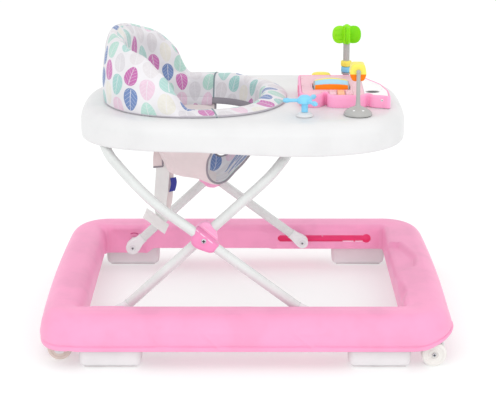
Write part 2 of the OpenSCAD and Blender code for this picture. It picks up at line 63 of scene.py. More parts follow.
def arc(cx, cy, rx, ry, a0, a1, n):
    return [(cx + rx * math.cos(math.radians(a0 + (a1 - a0) * i / n)), cy + ry * math.sin(math.radians(a0 + (a1 - a0) * i / n))) for i in range(n + 1)]

def cr(P, n):
    """Catmull-Rom through the rows of P, n samples."""
    P = np.asarray(P, float)
    m = len(P)
    t = np.linspace(0, m - 1 - 1e-9, n)
    i = t.astype(int)
    f = (t - i)[:, None]
    g = lambda k: P[np.clip(k, 0, m - 1)]
    p0, p1, p2, p3 = g(i - 1), g(i), g(i + 1), g(i + 2)
    return 0.5 * (2 * p1 + (p2 - p0) * f + (2 * p0 - 5 * p1 + 4 * p2 - p3) * f ** 2 + (3 * p1 - p0 - 3 * p2 + p3) * f ** 3)

def vnoise(P, scale, seed=0):
    """Smooth repeatable noise from sums of sines, about -1..1."""
    P = np.asarray(P, float) / scale
    r = np.random.RandomState(seed)
    out = np.zeros(len(P))
    for k in range(7):
        d = r.normal(size=3)
        out += np.sin(P @ d * (1.6 + 0.5 * k) + r.uniform(0, 6.28))
    return out / 4.0

# ------------------------------------------------------------------ materials
class Net:
    def __init__(self, name):
        self.mat = bpy.data.materials.new(name)
        self.mat.use_nodes = True
        self.t = self.mat.node_tree
        self.b = self.t.nodes["Principled BSDF"]
    def n(self, kind, **kw):
        nd = self.t.nodes.new(kind)
        for k, v in kw.items():
            setattr(nd, k, v)
        return nd
    def link(self, a, b):
        self.t.links.new(a, b)
    def put(self, sock, v):
        if isinstance(v, X):
            self.link(v.s, sock)
        elif hasattr(v, "is_output"):
            self.link(v, sock)
        else:
            sock.default_value = v
    def m(self, op, a, b=None, c=None):
        nd = self.n("ShaderNodeMath", operation=op)
        for i, v in enumerate((a, b, c)):
            if v is not None:
                self.put(nd.inputs[i], v)
        return X(self, nd.outputs[0])
    def mix(self, f, a, b):
        nd = self.n("ShaderNodeMix", data_type="RGBA")
        self.put(nd.inputs[0], f)
        self.put(nd.inputs[6], a)
        self.put(nd.inputs[7], b)
        return nd.outputs[2]
    def noise(self, vec, scale, detail=2.0, rough=0.5, dist=0.0):
        nd = self.n("ShaderNodeTexNoise")
        self.link(vec, nd.inputs["Vector"])
        nd.inputs["Scale"].default_value = scale
        nd.inputs["Detail"].default_value = detail
        nd.inputs["Roughness"].default_value = rough
        nd.inputs["Distortion"].default_value = dist
        return X(self, nd.outputs[0])
    def ramp(self, f, stops, mode="LINEAR"):
        nd = self.n("ShaderNodeValToRGB")
        nd.color_ramp.interpolation = mode
        e = nd.color_ramp.elements
        while len(e) > 1:
            e.remove(e[-1])
        e[0].position, e[0].color = stops[0]
        for p, c in stops[1:]:
            x = e.new(p)
            x.color = c
        self.put(nd.inputs[0], f)
        return nd.outputs[0]
    def bump(self, h, strength, dist, prev=None):
        nd = self.n("ShaderNodeBump")
        nd.inputs["Strength"].default_value = strength
        nd.inputs["Distance"].default_value = dist
        self.put(nd.inputs["Height"], h)
        if prev is not None:
            self.link(prev, nd.inputs["Normal"])
        return nd.outputs[0]

class X:
    """A value in a node tree that can be used in sums."""
    def __init__(self, net, s):
        self.net, self.s = net, s
    def _b(self, op, o, r=False):
        return self.net.m(op, o, self) if r else self.net.m(op, self, o)
    def __add__(s, o): return s._b("ADD", o)
    def __radd__(s, o): return s._b("ADD", o, True)
    def __sub__(s, o): return s._b("SUBTRACT", o)
    def __rsub__(s, o): return s._b("SUBTRACT", o, True)
    def __mul__(s, o): return s._b("MULTIPLY", o)
    def __rmul__(s, o): return s._b("MULTIPLY", o, True)
    def __truediv__(s, o): return s._b("DIVIDE", o)
    def __lt__(s, o): return s._b("LESS_THAN", o)
    def __gt__(s, o): return s._b("GREATER_THAN", o)
    def abs(s): return s.net.m("ABSOLUTE", s)
    def floor(s): return s.net.m("FLOOR", s)
    def fract(s): return s.net.m("FRACT", s)
    def sin(s): return s.net.m("SINE", s)
    def sqrt(s): return s.net.m("SQRT", s)
    def max(s, o): return s._b("MAXIMUM", o)
    def min(s, o): return s._b("MINIMUM", o)
    def clamp(s): return s.max(0.0).min(1.0)

def plastic(name, rgb, rough=0.4, mottle=0.03, grain=0.12, spec=0.45, coat=0.0, big=18.0, rgb2=None, worn=0.0):
    k = Net(name)
    co = k.n("ShaderNodeTexCoord").outputs["Object"]
    n1 = k.noise(co, big, 3.0)
    n2 = k.noise(co, 900.0, 2.0)
    n3 = k.noise(co, 130.0, 4.0, 0.6)
    dark = srgb([max(0, c * (1 - mottle * 1.6)) for c in rgb])
    lite = srgb([min(255, c * (1 + mottle)) for c in (rgb2 or rgb)])
    col = k.ramp(n1, [(0.35, dark), (0.5, srgb(rgb)), (0.68, lite)])
    k.link(col, k.b.inputs["Base Color"])
    r = k.m("MULTIPLY_ADD", n3, 0.16, rough - 0.08)
    k.put(k.b.inputs["Roughness"], r)
    k.b.inputs["Specular IOR Level"].default_value = spec
    if coat:
        k.b.inputs["Coat Weight"].default_value = coat
        k.b.inputs["Coat Roughness"].default_value = 0.12
    b1 = k.bump(n3, 0.10, 0.0004)
    k.link(k.bump(n2, grain, 0.0002, b1), k.b.inputs["Normal"])
    return k.mat

def metal(name, rgb, rough=0.3):
    k = Net(name)
    co = k.n("ShaderNodeTexCoord").outputs["Object"]
    n1 = k.noise(co, 300.0, 3.0)
    k.link(k.ramp(n1, [(0.3, srgb([c * 0.85 for c in rgb])), (0.7, srgb(rgb))]), k.b.inputs["Base Color"])
    k.put(k.b.inputs["Roughness"], k.m("MULTIPLY_ADD", n1, 0.2, rough - 0.1))
    k.b.inputs["Metallic"].default_value = 0.9
    k.link(k.bump(k.noise(co, 1500.0, 2.0), 0.15, 0.0001), k.b.inputs["Normal"])
    return k.mat

def weave(k, u, v, pitch):
    a = (u * (2 * pi / pitch)).sin()
    b = (v * (2 * pi / pitch)).sin()
    return a * b

LEAF = [(190, 92, 166), (172, 212, 200), (152, 200, 196), (96, 126, 180), (214, 210, 214), (226, 196, 214), (224, 221, 212), (176, 214, 204), (196, 104, 172), (212, 209, 214), (166, 206, 200), (219, 215, 218)]

def fabric(name, ground, leaves=False, tint=None, pitch=0.9, sheen=0.25, seed=0.0):
    """Woven cloth. Coordinates are the piece's own cloth map 'pat', in millimetres along the cloth."""
    k = Net(name)
    at = k.n("ShaderNodeAttribute", attribute_name="pat", attribute_type="GEOMETRY")
    sep = k.n("ShaderNodeSeparateXYZ")
    k.link(at.outputs["Vector"], sep.inputs[0])
    u, v = X(k, sep.outputs[0]), X(k, sep.outputs[1])
    co = k.n("ShaderNodeTexCoord").outputs["Object"]
    wv = weave(k, u, v, pitch)
    soft = k.noise(co, 22.0, 3.0)
    mid = k.noise(co, 160.0, 3.0)
    base = k.ramp(soft, [(0.3, srgb([c * 0.955 for c in ground])), (0.7, srgb(ground))])
    if leaves:
        cw, ch = 31.5, 42.0
        uu = u + (v * 0.035).sin() * 2.4 + 400.0
        vv = v + 400.0
        c = (uu / cw).floor()
        odd = (c * 0.5).fract() * 2.0
        vo = vv + odd * (ch * 0.5)
        r = (vo / ch).floor()
        x = uu - (c + 0.5) * cw
        y = vo - (r + 0.5) * ch
        cmb = k.n("ShaderNodeCombineXYZ")
        k.put(cmb.inputs[0], c + 47.3); k.put(cmb.inputs[1], r + 29.9); cmb.inputs[2].default_value = seed
        wn = k.n("ShaderNodeTexWhiteNoise", noise_dimensions="3D")
        k.link(cmb.outputs[0], wn.inputs["Vector"])
        rnd = X(k, wn.outputs["Value"])
        s3 = k.n("ShaderNodeSeparateXYZ"); k.link(wn.outputs["Color"], s3.inputs[0])
        ra, rb, rc = (X(k, s3.outputs[i]) for i in range(3))
        kk = (ra - 0.5) * 0.5
        x1 = x + kk * y
        y1 = y - kk * x
        flip = (rb > 0.5) * 2.0 - 1.0
        y2 = y1 * flip
        wob = (mid - 0.5) * 1.2
        yn = y2 / 19.6
        W = ((1.0 - yn * yn).max(0.0)).sqrt() * 13.9 * (1.0 - y2 * 0.010)
        mask = ((W - x1.abs() + wob) / 0.7).clamp()
        ax = x1.abs()
        mid_v = ((0.92 - ax - y2 * 0.014) / 0.4).clamp() * ((y2 * -1.0 - 17.4) < 0.0)
        s = (y2 - ax * 0.95 + 1.6) / 7.6
        side = ((0.070 - (s.fract() - 0.5).abs()) / 0.05).clamp() * ((ax - W * 0.86) < 0.0)
        vein = mid_v.max(side)
        # a second kind of leaf with finer veins
        s2 = (y2 - ax * 0.6 + 0.8) / 6.0
        side2 = ((0.070 - (s2.fract() - 0.5).abs()) / 0.06).clamp() * ((ax - W * 0.9) < 0.0)
        kind = rc > 0.62
        vein = k.m("MULTIPLY_ADD", kind, mid_v.max(side2) - vein, vein)
        n = len(LEAF)
        stops = [(i / n, srgb(cc)) for i, cc in enumerate(LEAF)]
        lc = k.ramp(rnd, stops, "CONSTANT")
        shade = k.ramp(mid * 0.5 + soft * 0.5, [(0.3, (0.90, 0.90, 0.90, 1)), (0.65, (1.06, 1.06, 1.06, 1))])
        mul = k.n("ShaderNodeMix", data_type="RGBA", blend_type="MULTIPLY")
        mul.inputs[0].default_value = 0.8
        k.link(lc, mul.inputs[6]); k.link(shade, mul.inputs[7])
        f = mask * (1.0 - vein * 0.72) * 0.93
        base = k.mix(f, base, mul.outputs[2])
    k.link(base, k.b.inputs["Base Color"])
    k.put(k.b.inputs["Roughness"], k.m("MULTIPLY_ADD", mid, 0.2, 0.72))
    k.b.inputs["Specular IOR Level"].default_value = 0.2
    k.b.inputs["Sheen Weight"].default_value = sheen
    k.b.inputs["Sheen Roughness"].default_value = 0.5
    b = k.bump(soft, 0.35, 0.002)
    b = k.bump(mid, 0.25, 0.0006, b)
    b = k.bump(wv, 0.30, 0.00016, b)
    k.link(b, k.b.inputs["Normal"])
    return k.mat

M = {}
M["pink"] = plastic("pink_plastic", (246, 161, 200), 0.42, 0.015, 0.10, 0.35)
M["pink2"] = plastic("pink_hub", (235, 140, 187), 0.34, 0.02, 0.10, 0.4)
M["pink_lite"] = plastic("pale_pink_hub", (250, 174, 213), 0.34, 0.02, 0.10, 0.4)
M["deep"] = plastic("deep_pink_plastic", (243, 104, 160), 0.45, 0.03, 0.10, 0.3)
_e = M["deep"].node_tree.nodes["Principled BSDF"]; _e.inputs["Emission Color"].default_value = (1.0, 0.09, 0.30, 1); _e.inputs["Emission Strength"].default_value = 0.13   # painted light: a faint pink emission stands in for light coming through the thin wall
M["palepink"] = plastic("pale_pink_plastic", (236, 190, 203), 0.38, 0.015, 0.08, 0.4)
M["console"] = plastic("console_pink", (255, 170, 210), 0.38, 0.015, 0.08, 0.4)
M["white"] = plastic("white_plastic", (224, 224, 225), 0.36, 0.008, 0.08, 0.4)
M["panel"] = plastic("panel_white", (247, 247, 248), 0.3, 0.008, 0.08, 0.4)
M["pad"] = plastic("frosted_white", (228, 225, 227), 0.55, 0.012, 0.2, 0.3)
M["enamel"] = plastic("white_enamel", (217, 220, 219), 0.26, 0.012, 0.05, 0.5, coat=0.3, big=30)
M["cap"] = plastic("cap_white", (230, 231, 232), 0.4, 0.012, 0.1, 0.4)
M["wheel"] = plastic("wheel_white", (232, 229, 225), 0.4, 0.015, 0.1, 0.4)
# painted shade: the rear wheels get a darker, warmer copy of the wheel white for the shade they sit in
M["wheel2"] = plastic("rear_wheel_painted_shade", (224, 208, 200), 0.5, 0.02, 0.1, 0.3)
M["sole"] = plastic("sole_rubber", (232, 227, 228), 0.8, 0.03, 0.4, 0.2)
M["grey"] = plastic("grey_plastic", (176, 176, 174), 0.38, 0.015, 0.1, 0.4)
M["dark"] = plastic("dark_plastic", (66, 66, 72), 0.5, 0.04, 0.3, 0.3)
M["green"] = plastic("green_plastic", (150, 236, 24), 0.36, 0.015, 0.08, 0.25)
# painted shade: a darker copy of the green for vanes that face away from the light
M["green2"] = plastic("green_plastic_painted_shade", (126, 220, 0), 0.36, 0.015, 0.08, 0.2)
M["yellow"] = plastic("yellow_plastic", (245, 230, 98), 0.36, 0.015, 0.08, 0.3)
M["orange"] = plastic("orange_plastic", (255, 128, 0), 0.38, 0.015, 0.08, 0.22)
M["orange2"] = plastic("pale_orange_plastic", (255, 190, 150), 0.35, 0.015, 0.08, 0.45)
M["blue"] = plastic("blue_plastic", (132, 208, 242), 0.35, 0.015, 0.08, 0.45)
M["board"] = plastic("board_green", (52, 124, 78), 0.5, 0.06, 0.2, 0.4, big=90)
M["steel"] = metal("zinc_steel", (196, 198, 202), 0.32)
M["screwl"] = metal("bright_screw_steel", (226, 228, 232), 0.45)
# painted highlight: a light pink for edges and strips that catch the light
M["pink_edge"] = plastic("pink_painted_highlight", (255, 206, 230), 0.34, 0.02, 0.10, 0.4)
# painted shadow: a darker pink for the shade inside the notch above each rear pivot
M["pink_rec"] = plastic("pink_recess", (206, 92, 142), 0.5, 0.02, 0.10, 0.2)
M["paleblue"] = plastic("pale_blue_plastic", (168, 214, 234), 0.35, 0.015, 0.08, 0.35)
M["screw"] = metal("screw_steel", (150, 152, 156), 0.4)
M["battery"] = plastic("battery_sleeve", (196, 204, 210), 0.35, 0.02, 0.1, 0.4)
M["print"] = fabric("leaf_print", (231, 229, 233), True)
M["trim"] = fabric("pale_grey_trim", (188, 184, 192), False, pitch=1.0)
M["lining"] = fabric("sling_lining", (236, 225, 224), False, pitch=1.1)
M["binding"] = fabric("grey_binding", (152, 147, 155), False, pitch=1.0)
M["binding_dark"] = fabric("teal_binding", (132, 152, 158), False, pitch=1.0)
M["tagcloth"] = fabric("tag_satin", (236, 239, 236), False, pitch=0.5, sheen=0.1)
M["tabcloth"] = fabric("tab_blue", (66, 72, 158), False, pitch=0.5, sheen=0.1)

# ------------------------------------------------------------------ mesh tools
def add(name, V, F, mat, smooth=True, mats=None, fmat=None, autosmooth=None):
    me = bpy.data.meshes.new(name)
    me.from_pydata([tuple(float(c) * MM for c in v) for v in V], [], [tuple(int(i) for i in f) for f in F])
    me.validate()
    ob = bpy.data.objects.new(name, me)
    sc.collection.objects.link(ob)
    for m in (mats or [mat]):
        me.materials.append(m)
    if fmat is not None:
        me.polygons.foreach_set("material_index", np.asarray(fmat, np.int32))
    if smooth:
        me.polygons.foreach_set("use_smooth", [True] * len(me.polygons))
    bm = bmesh.new(); bm.from_mesh(me)
    bmesh.ops.recalc_face_normals(bm, faces=bm.faces)
    if autosmooth is not None:
        lim = math.radians(autosmooth)
        for e in bm.edges:
            if len(e.link_faces) == 2 and e.calc_face_angle(0.0) > lim:
                e.smooth = False
    bm.to_mesh(me); bm.free()
    me.update()
    return ob

def sharpen(ob, deg=35):
    me = ob.data
    bm = bmesh.new(); bm.from_mesh(me)
    lim = math.radians(deg)
    for e in bm.edges:
        e.smooth = not (len(e.link_faces) == 2 and e.calc_face_angle(0.0) > lim)
    for f in bm.faces:
        f.smooth = True
    bm.to_mesh(me); bm.free(); me.update()
    return ob

def loft(name, rows, mat, wrap_rows=False, cap=True, smooth=True, autosmooth=None, fm=None, mats=None):
    """rows: R rings of C points, each ring closed."""
    A = np.asarray(rows, float)
    R, C = A.shape[:2]
    V = A.reshape(-1, 3)
    F = []; fmat = []
    for i in range(R if wrap_rows else R - 1):
        j = (i + 1) % R
        for k in range(C):
            l = (k + 1) % C
            F.append((i * C + k, i * C + l, j * C + l, j * C + k))
            fmat.append(fm(i, k) if fm else 0)
    if cap and not wrap_rows:
        F.append(tuple(range(C))); fmat.append(fm(0, 0) if fm else 0)
        F.append(tuple((R - 1) * C + k for k in range(C))); fmat.append(fm(R - 2, 0) if fm else 0)
    return add(name, V, F, mat, smooth, mats, fmat if fm else None, autosmooth)

def apply_mods(ob):
    dg = bpy.context.evaluated_depsgraph_get()
    dg.update()
    me = bpy.data.meshes.new_from_object(ob.evaluated_get(dg), depsgraph=dg)
    old = ob.data
    ob.modifiers.clear()
    ob.data = me
    me.name = ob.name
    bpy.data.meshes.remove(old)
    return ob

def boolean(ob, cutters, op="DIFFERENCE"):
    for c in cutters:
        m = ob.modifiers.new("b", "BOOLEAN")
        m.operation = op; m.solver = "EXACT"; m.object = c
    apply_mods(ob)
    for c in cutters:
        bpy.data.objects.remove(c)
    return ob

def bevel(ob, w=0.4, seg=2, ang=35):
    m = ob.modifiers.new("bevel", "BEVEL")
    m.width = w * MM; m.segments = seg; m.limit_method = "ANGLE"; m.angle_limit = math.radians(ang)
    m.harden_normals = False
    return ob

def prism(name, poly, a0, a1, axis, mat, smooth=False, autosmooth=None):
    """Extrude a 2-D outline along an axis: 'z' (poly is x,y), 'y' (poly is x,z), 'x' (poly is y,z)."""
    P = [tuple(p) for p in poly]
    def at(p, a):
        return {"z": (p[0], p[1], a), "y": (p[0], a, p[1]), "x": (a, p[0], p[1])}[axis]
    n = len(P)
    V = [at(p, a0) for p in P] + [at(p, a1) for p in P]
    F = [tuple(range(n)), tuple(range(2 * n - 1, n - 1, -1))] + [(i, (i + 1) % n, n + (i + 1) % n, n + i) for i in range(n)]
    return add(name, V, F, mat, smooth, autosmooth=autosmooth)

def lathe(name, prof, centre, axis, mat, n=64, autosmooth=30, mats=None, fm=None, closed=True):
    """prof: (r, a) pairs round the axis. A pair with r 0 at either end closes on the axis."""
    rows = []
    for k in range(n):
        t = 2 * pi * k / n
        row = []
        for r, a in prof:
            c, s = r * math.cos(t), r * math.sin(t)
            row.append({"z": (c, s, a), "y": (c, a, s), "x": (a, c, s)}[axis])
        rows.append(row)
    A = np.array(rows) + np.array(centre, float)
    R, C = A.shape[:2]
    V = A.reshape(-1, 3)
    F = []; fmat = []
    last = C if closed else C - 1
    for i in range(R):
        j = (i + 1) % R
        for k in range(last):
            l = (k + 1) % C
            F.append((i * C + k, i * C + l, j * C + l, j * C + k)); fmat.append(fm(k) if fm else 0)
    ob = add(name, V, F, mat, True, mats, fmat if fm else None)
    bm = bmesh.new(); bm.from_mesh(ob.data)
    bmesh.ops.remove_doubles(bm, verts=bm.verts, dist=1e-6)
    bmesh.ops.dissolve_degenerate(bm, dist=1e-7, edges=bm.edges)
    bmesh.ops.recalc_face_normals(bm, faces=bm.faces)
    lim = math.radians(autosmooth)
    for e in bm.edges:
        e.smooth = not (len(e.link_faces) == 2 and e.calc_face_angle(0.0) > lim)
    bm.to_mesh(ob.data); bm.free(); ob.data.update()
    return ob

def sweep(name, path, r, mat, n=12, closed=False, squash=None, ref=(0, 0, 1), cap=True):
    """Round (or flattened) section along a path of points in mm. r may be a list."""
    P = np.asarray(path, float)
    m = len(P)
    if closed:
        T = np.roll(P, -1, 0) - np.roll(P, 1, 0)
    else:
        T = np.gradient(P, axis=0)
    T = T / np.linalg.norm(T, axis=1)[:, None]
    u = np.cross(np.array(ref, float), T[0])
    if np.linalg.norm(u) < 1e-3:
        u = np.cross([1.0, 0.3, 0.0], T[0])
    u = unit(u)
    rows = []
    R = np.full(m, r, float) if np.isscalar(r) else np.asarray(r, float)
    for i in range(m):
        u = unit(u - T[i] * (u @ T[i]))
        if ref is not None and squash is not None:
            w0 = np.cross(np.array(ref, float), T[i])
            if np.linalg.norm(w0) > 0.05:
                u = unit(w0)
        w = np.cross(T[i], u)
        a, b = (1, 1) if squash is None else squash
        t = 2 * pi * np.arange(n) / n
        rows.append(P[i] + R[i] * (a * np.cos(t)[:, None] * u + b * np.sin(t)[:, None] * w))
    if closed and squash is None:
        # spread the twist left at the join over the whole loop
        a0, a1 = rows[0][0] - P[0], u
        un = unit(u - T[0] * (u @ T[0]))
        e0 = unit(rows[0][0] - P[0]); f0 = np.cross(T[0], e0)
        ang = math.atan2(un @ f0, un @ e0)
        out = []
        for i in range(m):
            e = unit(rows[i][0] - P[i]); f = np.cross(T[i], e)
            t = 2 * pi * np.arange(n) / n - ang * i / m
            out.append(P[i] + R[i] * (np.cos(t)[:, None] * e + np.sin(t)[:, None] * f))
        rows = out
    return loft(name, rows, mat, wrap_rows=closed, cap=cap)

def join(name, obs):
    bpy.ops.object.select_all(action="DESELECT")
    for o in obs:
        if o.modifiers:
            apply_mods(o)
    bpy.context.view_layer.update()
    # merge by hand: keeps material slots
    V = []; F = []; fm = []; smf = []; mats = []; sharp = []
    off = 0
    pats = []
    anypat = any("pat" in o.data.attributes for o in obs)
    for o in obs:
        me = o.data
        idx = []
        for m in me.materials:
            if m not in mats:
                mats.append(m)
            idx.append(mats.index(m))
        V += [tuple(o.matrix_world @ v.co) for v in me.vertices]
        for p in me.polygons:
            F.append([i + off for i in p.vertices]); fm.append(idx[p.material_index] if idx else 0); smf.append(p.use_smooth)
        se = {(min(e.vertices) + off, max(e.vertices) + off) for e in me.edges if e.use_edge_sharp}
        sharp.append(se)
        if anypat:
            if "pat" in me.attributes:
                a = np.zeros(len(me.loops) * 3, np.float32); me.attributes["pat"].data.foreach_get("vector", a)
            else:
                a = np.zeros(len(me.loops) * 3, np.float32)
            pats.append(a)
        off += len(me.vertices)
    allsharp = set().union(*sharp)
    me = bpy.data.meshes.new(name)
    me.from_pydata(V, [], F)
    for m in mats:
        me.materials.append(m)
    me.polygons.foreach_set("material_index", fm)
    me.polygons.foreach_set("use_smooth", smf)
    for e in me.edges:
        if (min(e.vertices), max(e.vertices)) in allsharp:
            e.use_edge_sharp = True
    if anypat:
        at = me.attributes.new("pat", "FLOAT_VECTOR", "CORNER")
        at.data.foreach_set("vector", np.concatenate(pats))
    me.update()
    for o in obs:
        bpy.data.objects.remove(o)
    ob = bpy.data.objects.new(name, me)
    sc.collection.objects.link(ob)
    return ob

def mirror_y(name, src):
    me = src.data.copy()
    ob = bpy.data.objects.new(name, me)
    sc.collection.objects.link(ob)
    for v in me.vertices:
        v.co.y = -v.co.y
    me.flip_normals()
    for m in src.modifiers:
        if m.type == "BEVEL":
            n = ob.modifiers.new("bevel", "BEVEL")
            n.width = m.width; n.segments = m.segments; n.limit_method = "ANGLE"; n.angle_limit = m.angle_limit
    me.update()
    return ob

def set_pat(ob, fn):
    """fn(points mm, normals) -> (u, v) mm per vertex and wrap length (0 for none); written per corner."""
    me = ob.data
    n = len(me.vertices)
    co = np.zeros(n * 3, np.float32); me.vertices.foreach_get("co", co)
    co = co.reshape(-1, 3).astype(float) / MM
    no = np.array([v.normal for v in me.vertices], float).reshape(-1, 3)
    u, v, wrap = fn(co, no)
    li = np.zeros(len(me.loops), np.int32); me.loops.foreach_get("vertex_index", li)
    U, W = u[li].copy(), v[li].copy()
    if wrap:
        for p in me.polygons:
            s = slice(p.loop_start, p.loop_start + p.loop_total)
            q = U[s]
            U[s] = q - wrap * np.round((q - q[0]) / wrap)
    if "pat" in me.attributes:
        me.attributes.remove(me.attributes["pat"])
    at = me.attributes.new("pat", "FLOAT_VECTOR", "CORNER")
    at.data.foreach_set("vector", np.stack([U, W, np.zeros_like(U)], 1).astype(np.float32).ravel())
    return ob

def box_pat(ob):
    """A plain cloth map for small trims: blends x + y against z."""
    return set_pat(ob, lambda P, N: (P[:, 0] + P[:, 1] * 0.7, P[:, 2] + P[:, 1] * 0.3, 0))

def puff(ob, voxel=5.0, pressure=4.0, cap=6.0, frames=20, pin=None):
    if voxel:
        m = ob.modifiers.new("r", "REMESH"); m.mode = "VOXEL"; m.voxel_size = voxel * MM; m.use_smooth_shade = True
        apply_mods(ob)
    me = ob.data
    n = len(me.vertices)
    rest = np.zeros(n * 3, np.float32); me.vertices.foreach_get("co", rest)
    rest = rest.reshape(-1, 3)
    c = ob.modifiers.new("c", "CLOTH")
    s = c.settings
    s.use_pressure = True; s.uniform_pressure_force = pressure
    s.effector_weights.gravity = 0.0
    s.quality = 5
    if pin is not None:
        g = ob.vertex_groups.new(name="pin")
        w = pin(rest / MM)
        for i in np.nonzero(w > 0.01)[0]:
            g.add([int(i)], float(w[i]), "REPLACE")
        s.vertex_group_mass = "pin"
    for f in range(1, frames + 1):
        sc.frame_set(f)
    dg = bpy.context.evaluated_depsgraph_get()
    ev = ob.evaluated_get(dg)
    out = np.zeros(n * 3, np.float32); ev.data.vertices.foreach_get("co", out)
    out = out.reshape(-1, 3)
    d = out - rest
    L = np.linalg.norm(d, axis=1)[:, None]
    d = d * np.minimum(1.0, cap * MM / np.maximum(L, 1e-9))
    ob.modifiers.clear()
    me.vertices.foreach_set("co", (rest + d).astype(np.float32).ravel())
    me.update()
    sc.frame_set(1)
    return ob

def finish_piece(ob, body, slot, *nodes):
    if nodes:
        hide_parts(*nodes)
    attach(ob, body)
    return ob

DONE = set()
def put(ob, body, slot, *nodes):
    DONE.update(nodes)
    return finish_piece(ob, body, slot, *nodes)

def dense(P, step=2.5):
    P = [np.array(p, float) for p in P]
    out = []
    for a, b in zip(P, P[1:] + P[:1]):
        n = max(1, int(np.linalg.norm(b - a) / step))
        for k in range(n):
            out.append(a + (b - a) * k / n)
    return np.array(out)

def smooth_poly(P, it=2):
    P = np.asarray(P, float)
    for _ in range(it):
        P = 0.5 * P + 0.25 * (np.roll(P, 1, 0) + np.roll(P, -1, 0))
    return P

# ------------------------------------------------------------------ base ring
def ring_stations():
    """Outer point and inner point for stations round the ring, counter-clockwise seen from above."""
    S = []
    ri = 8.0
    XF, XR, YI = 268.0, -277.0, 226.0
    bow = 4.5
    def endx(y, s):
        return s * (353.0 - bow * (min(abs(y), 222.0) / 222.0) ** 2)
    oc = 353.0 - bow - 78.0
    def side(y, x0, x1, n, sgn):
        for i in range(n):
            t = i / n
            xo = x0 + (x1 - x0) * t
            lo, hi = (-oc, oc)
            f = (xo + oc) / (2 * oc)
            xi = (XR + ri) + (XF - ri - XR - ri) * f
            S.append((xo, sgn * 300.0, xi, sgn * YI))
    side(-300, -oc, oc, 230, -1)
    for i in range(28):
        a = math.radians(-90 + 90 * i / 28)
        S.append((oc + 78 * math.cos(a), -222 + 78 * math.sin(a), XF - ri + ri * math.cos(a), -(YI - ri) + ri * math.sin(a)))
    n = 120
    for i in range(n):
        y = -222 + 444 * i / n
        S.append((endx(y, 1), y, XF, -(YI - ri) + 2 * (YI - ri) * i / n))
    for i in range(28):
        a = math.radians(0 + 90 * i / 28)
        S.append((oc + 78 * math.cos(a), 222 + 78 * math.sin(a), XF - ri + ri * math.cos(a), (YI - ri) + ri * math.sin(a)))
    side(300, oc, -oc, 230, 1)
    for i in range(28):
        a = math.radians(90 + 90 * i / 28)
        S.append((-oc + 78 * math.cos(a), 222 + 78 * math.sin(a), XR + ri + ri * math.cos(a), (YI - ri) + ri * math.sin(a)))
    n = 90
    for i in range(n):
        y = 222 - 444 * i / n
        S.append((endx(y, -1), y, XR, (YI - ri) - 2 * (YI - ri) * i / n))
    for i in range(28):
        a = math.radians(180 + 90 * i / 28)
        S.append((-oc + 78 * math.cos(a), -222 + 78 * math.sin(a), XR + ri + ri * math.cos(a), -(YI - ri) + ri * math.sin(a)))
    return np.array(S)

D1 = np.array([(125, 268), (113, 296), (67, 308), (33, 316), (-20, 311), (-44, 284), (-60, 268)], float)   # y, x of the front grip hollows
D2 = np.array([(-88, 268), (-111, 277), (-152, 281), (-176, 275), (-206, 266)], float)
WAVES = [((-157, 66), (-150, 52)), ((-72, 66), (-64, 60), (-55, 50), (-47, 42.5)), ((80, 66), (88, 60), (98, 51), (109, 42.5))]

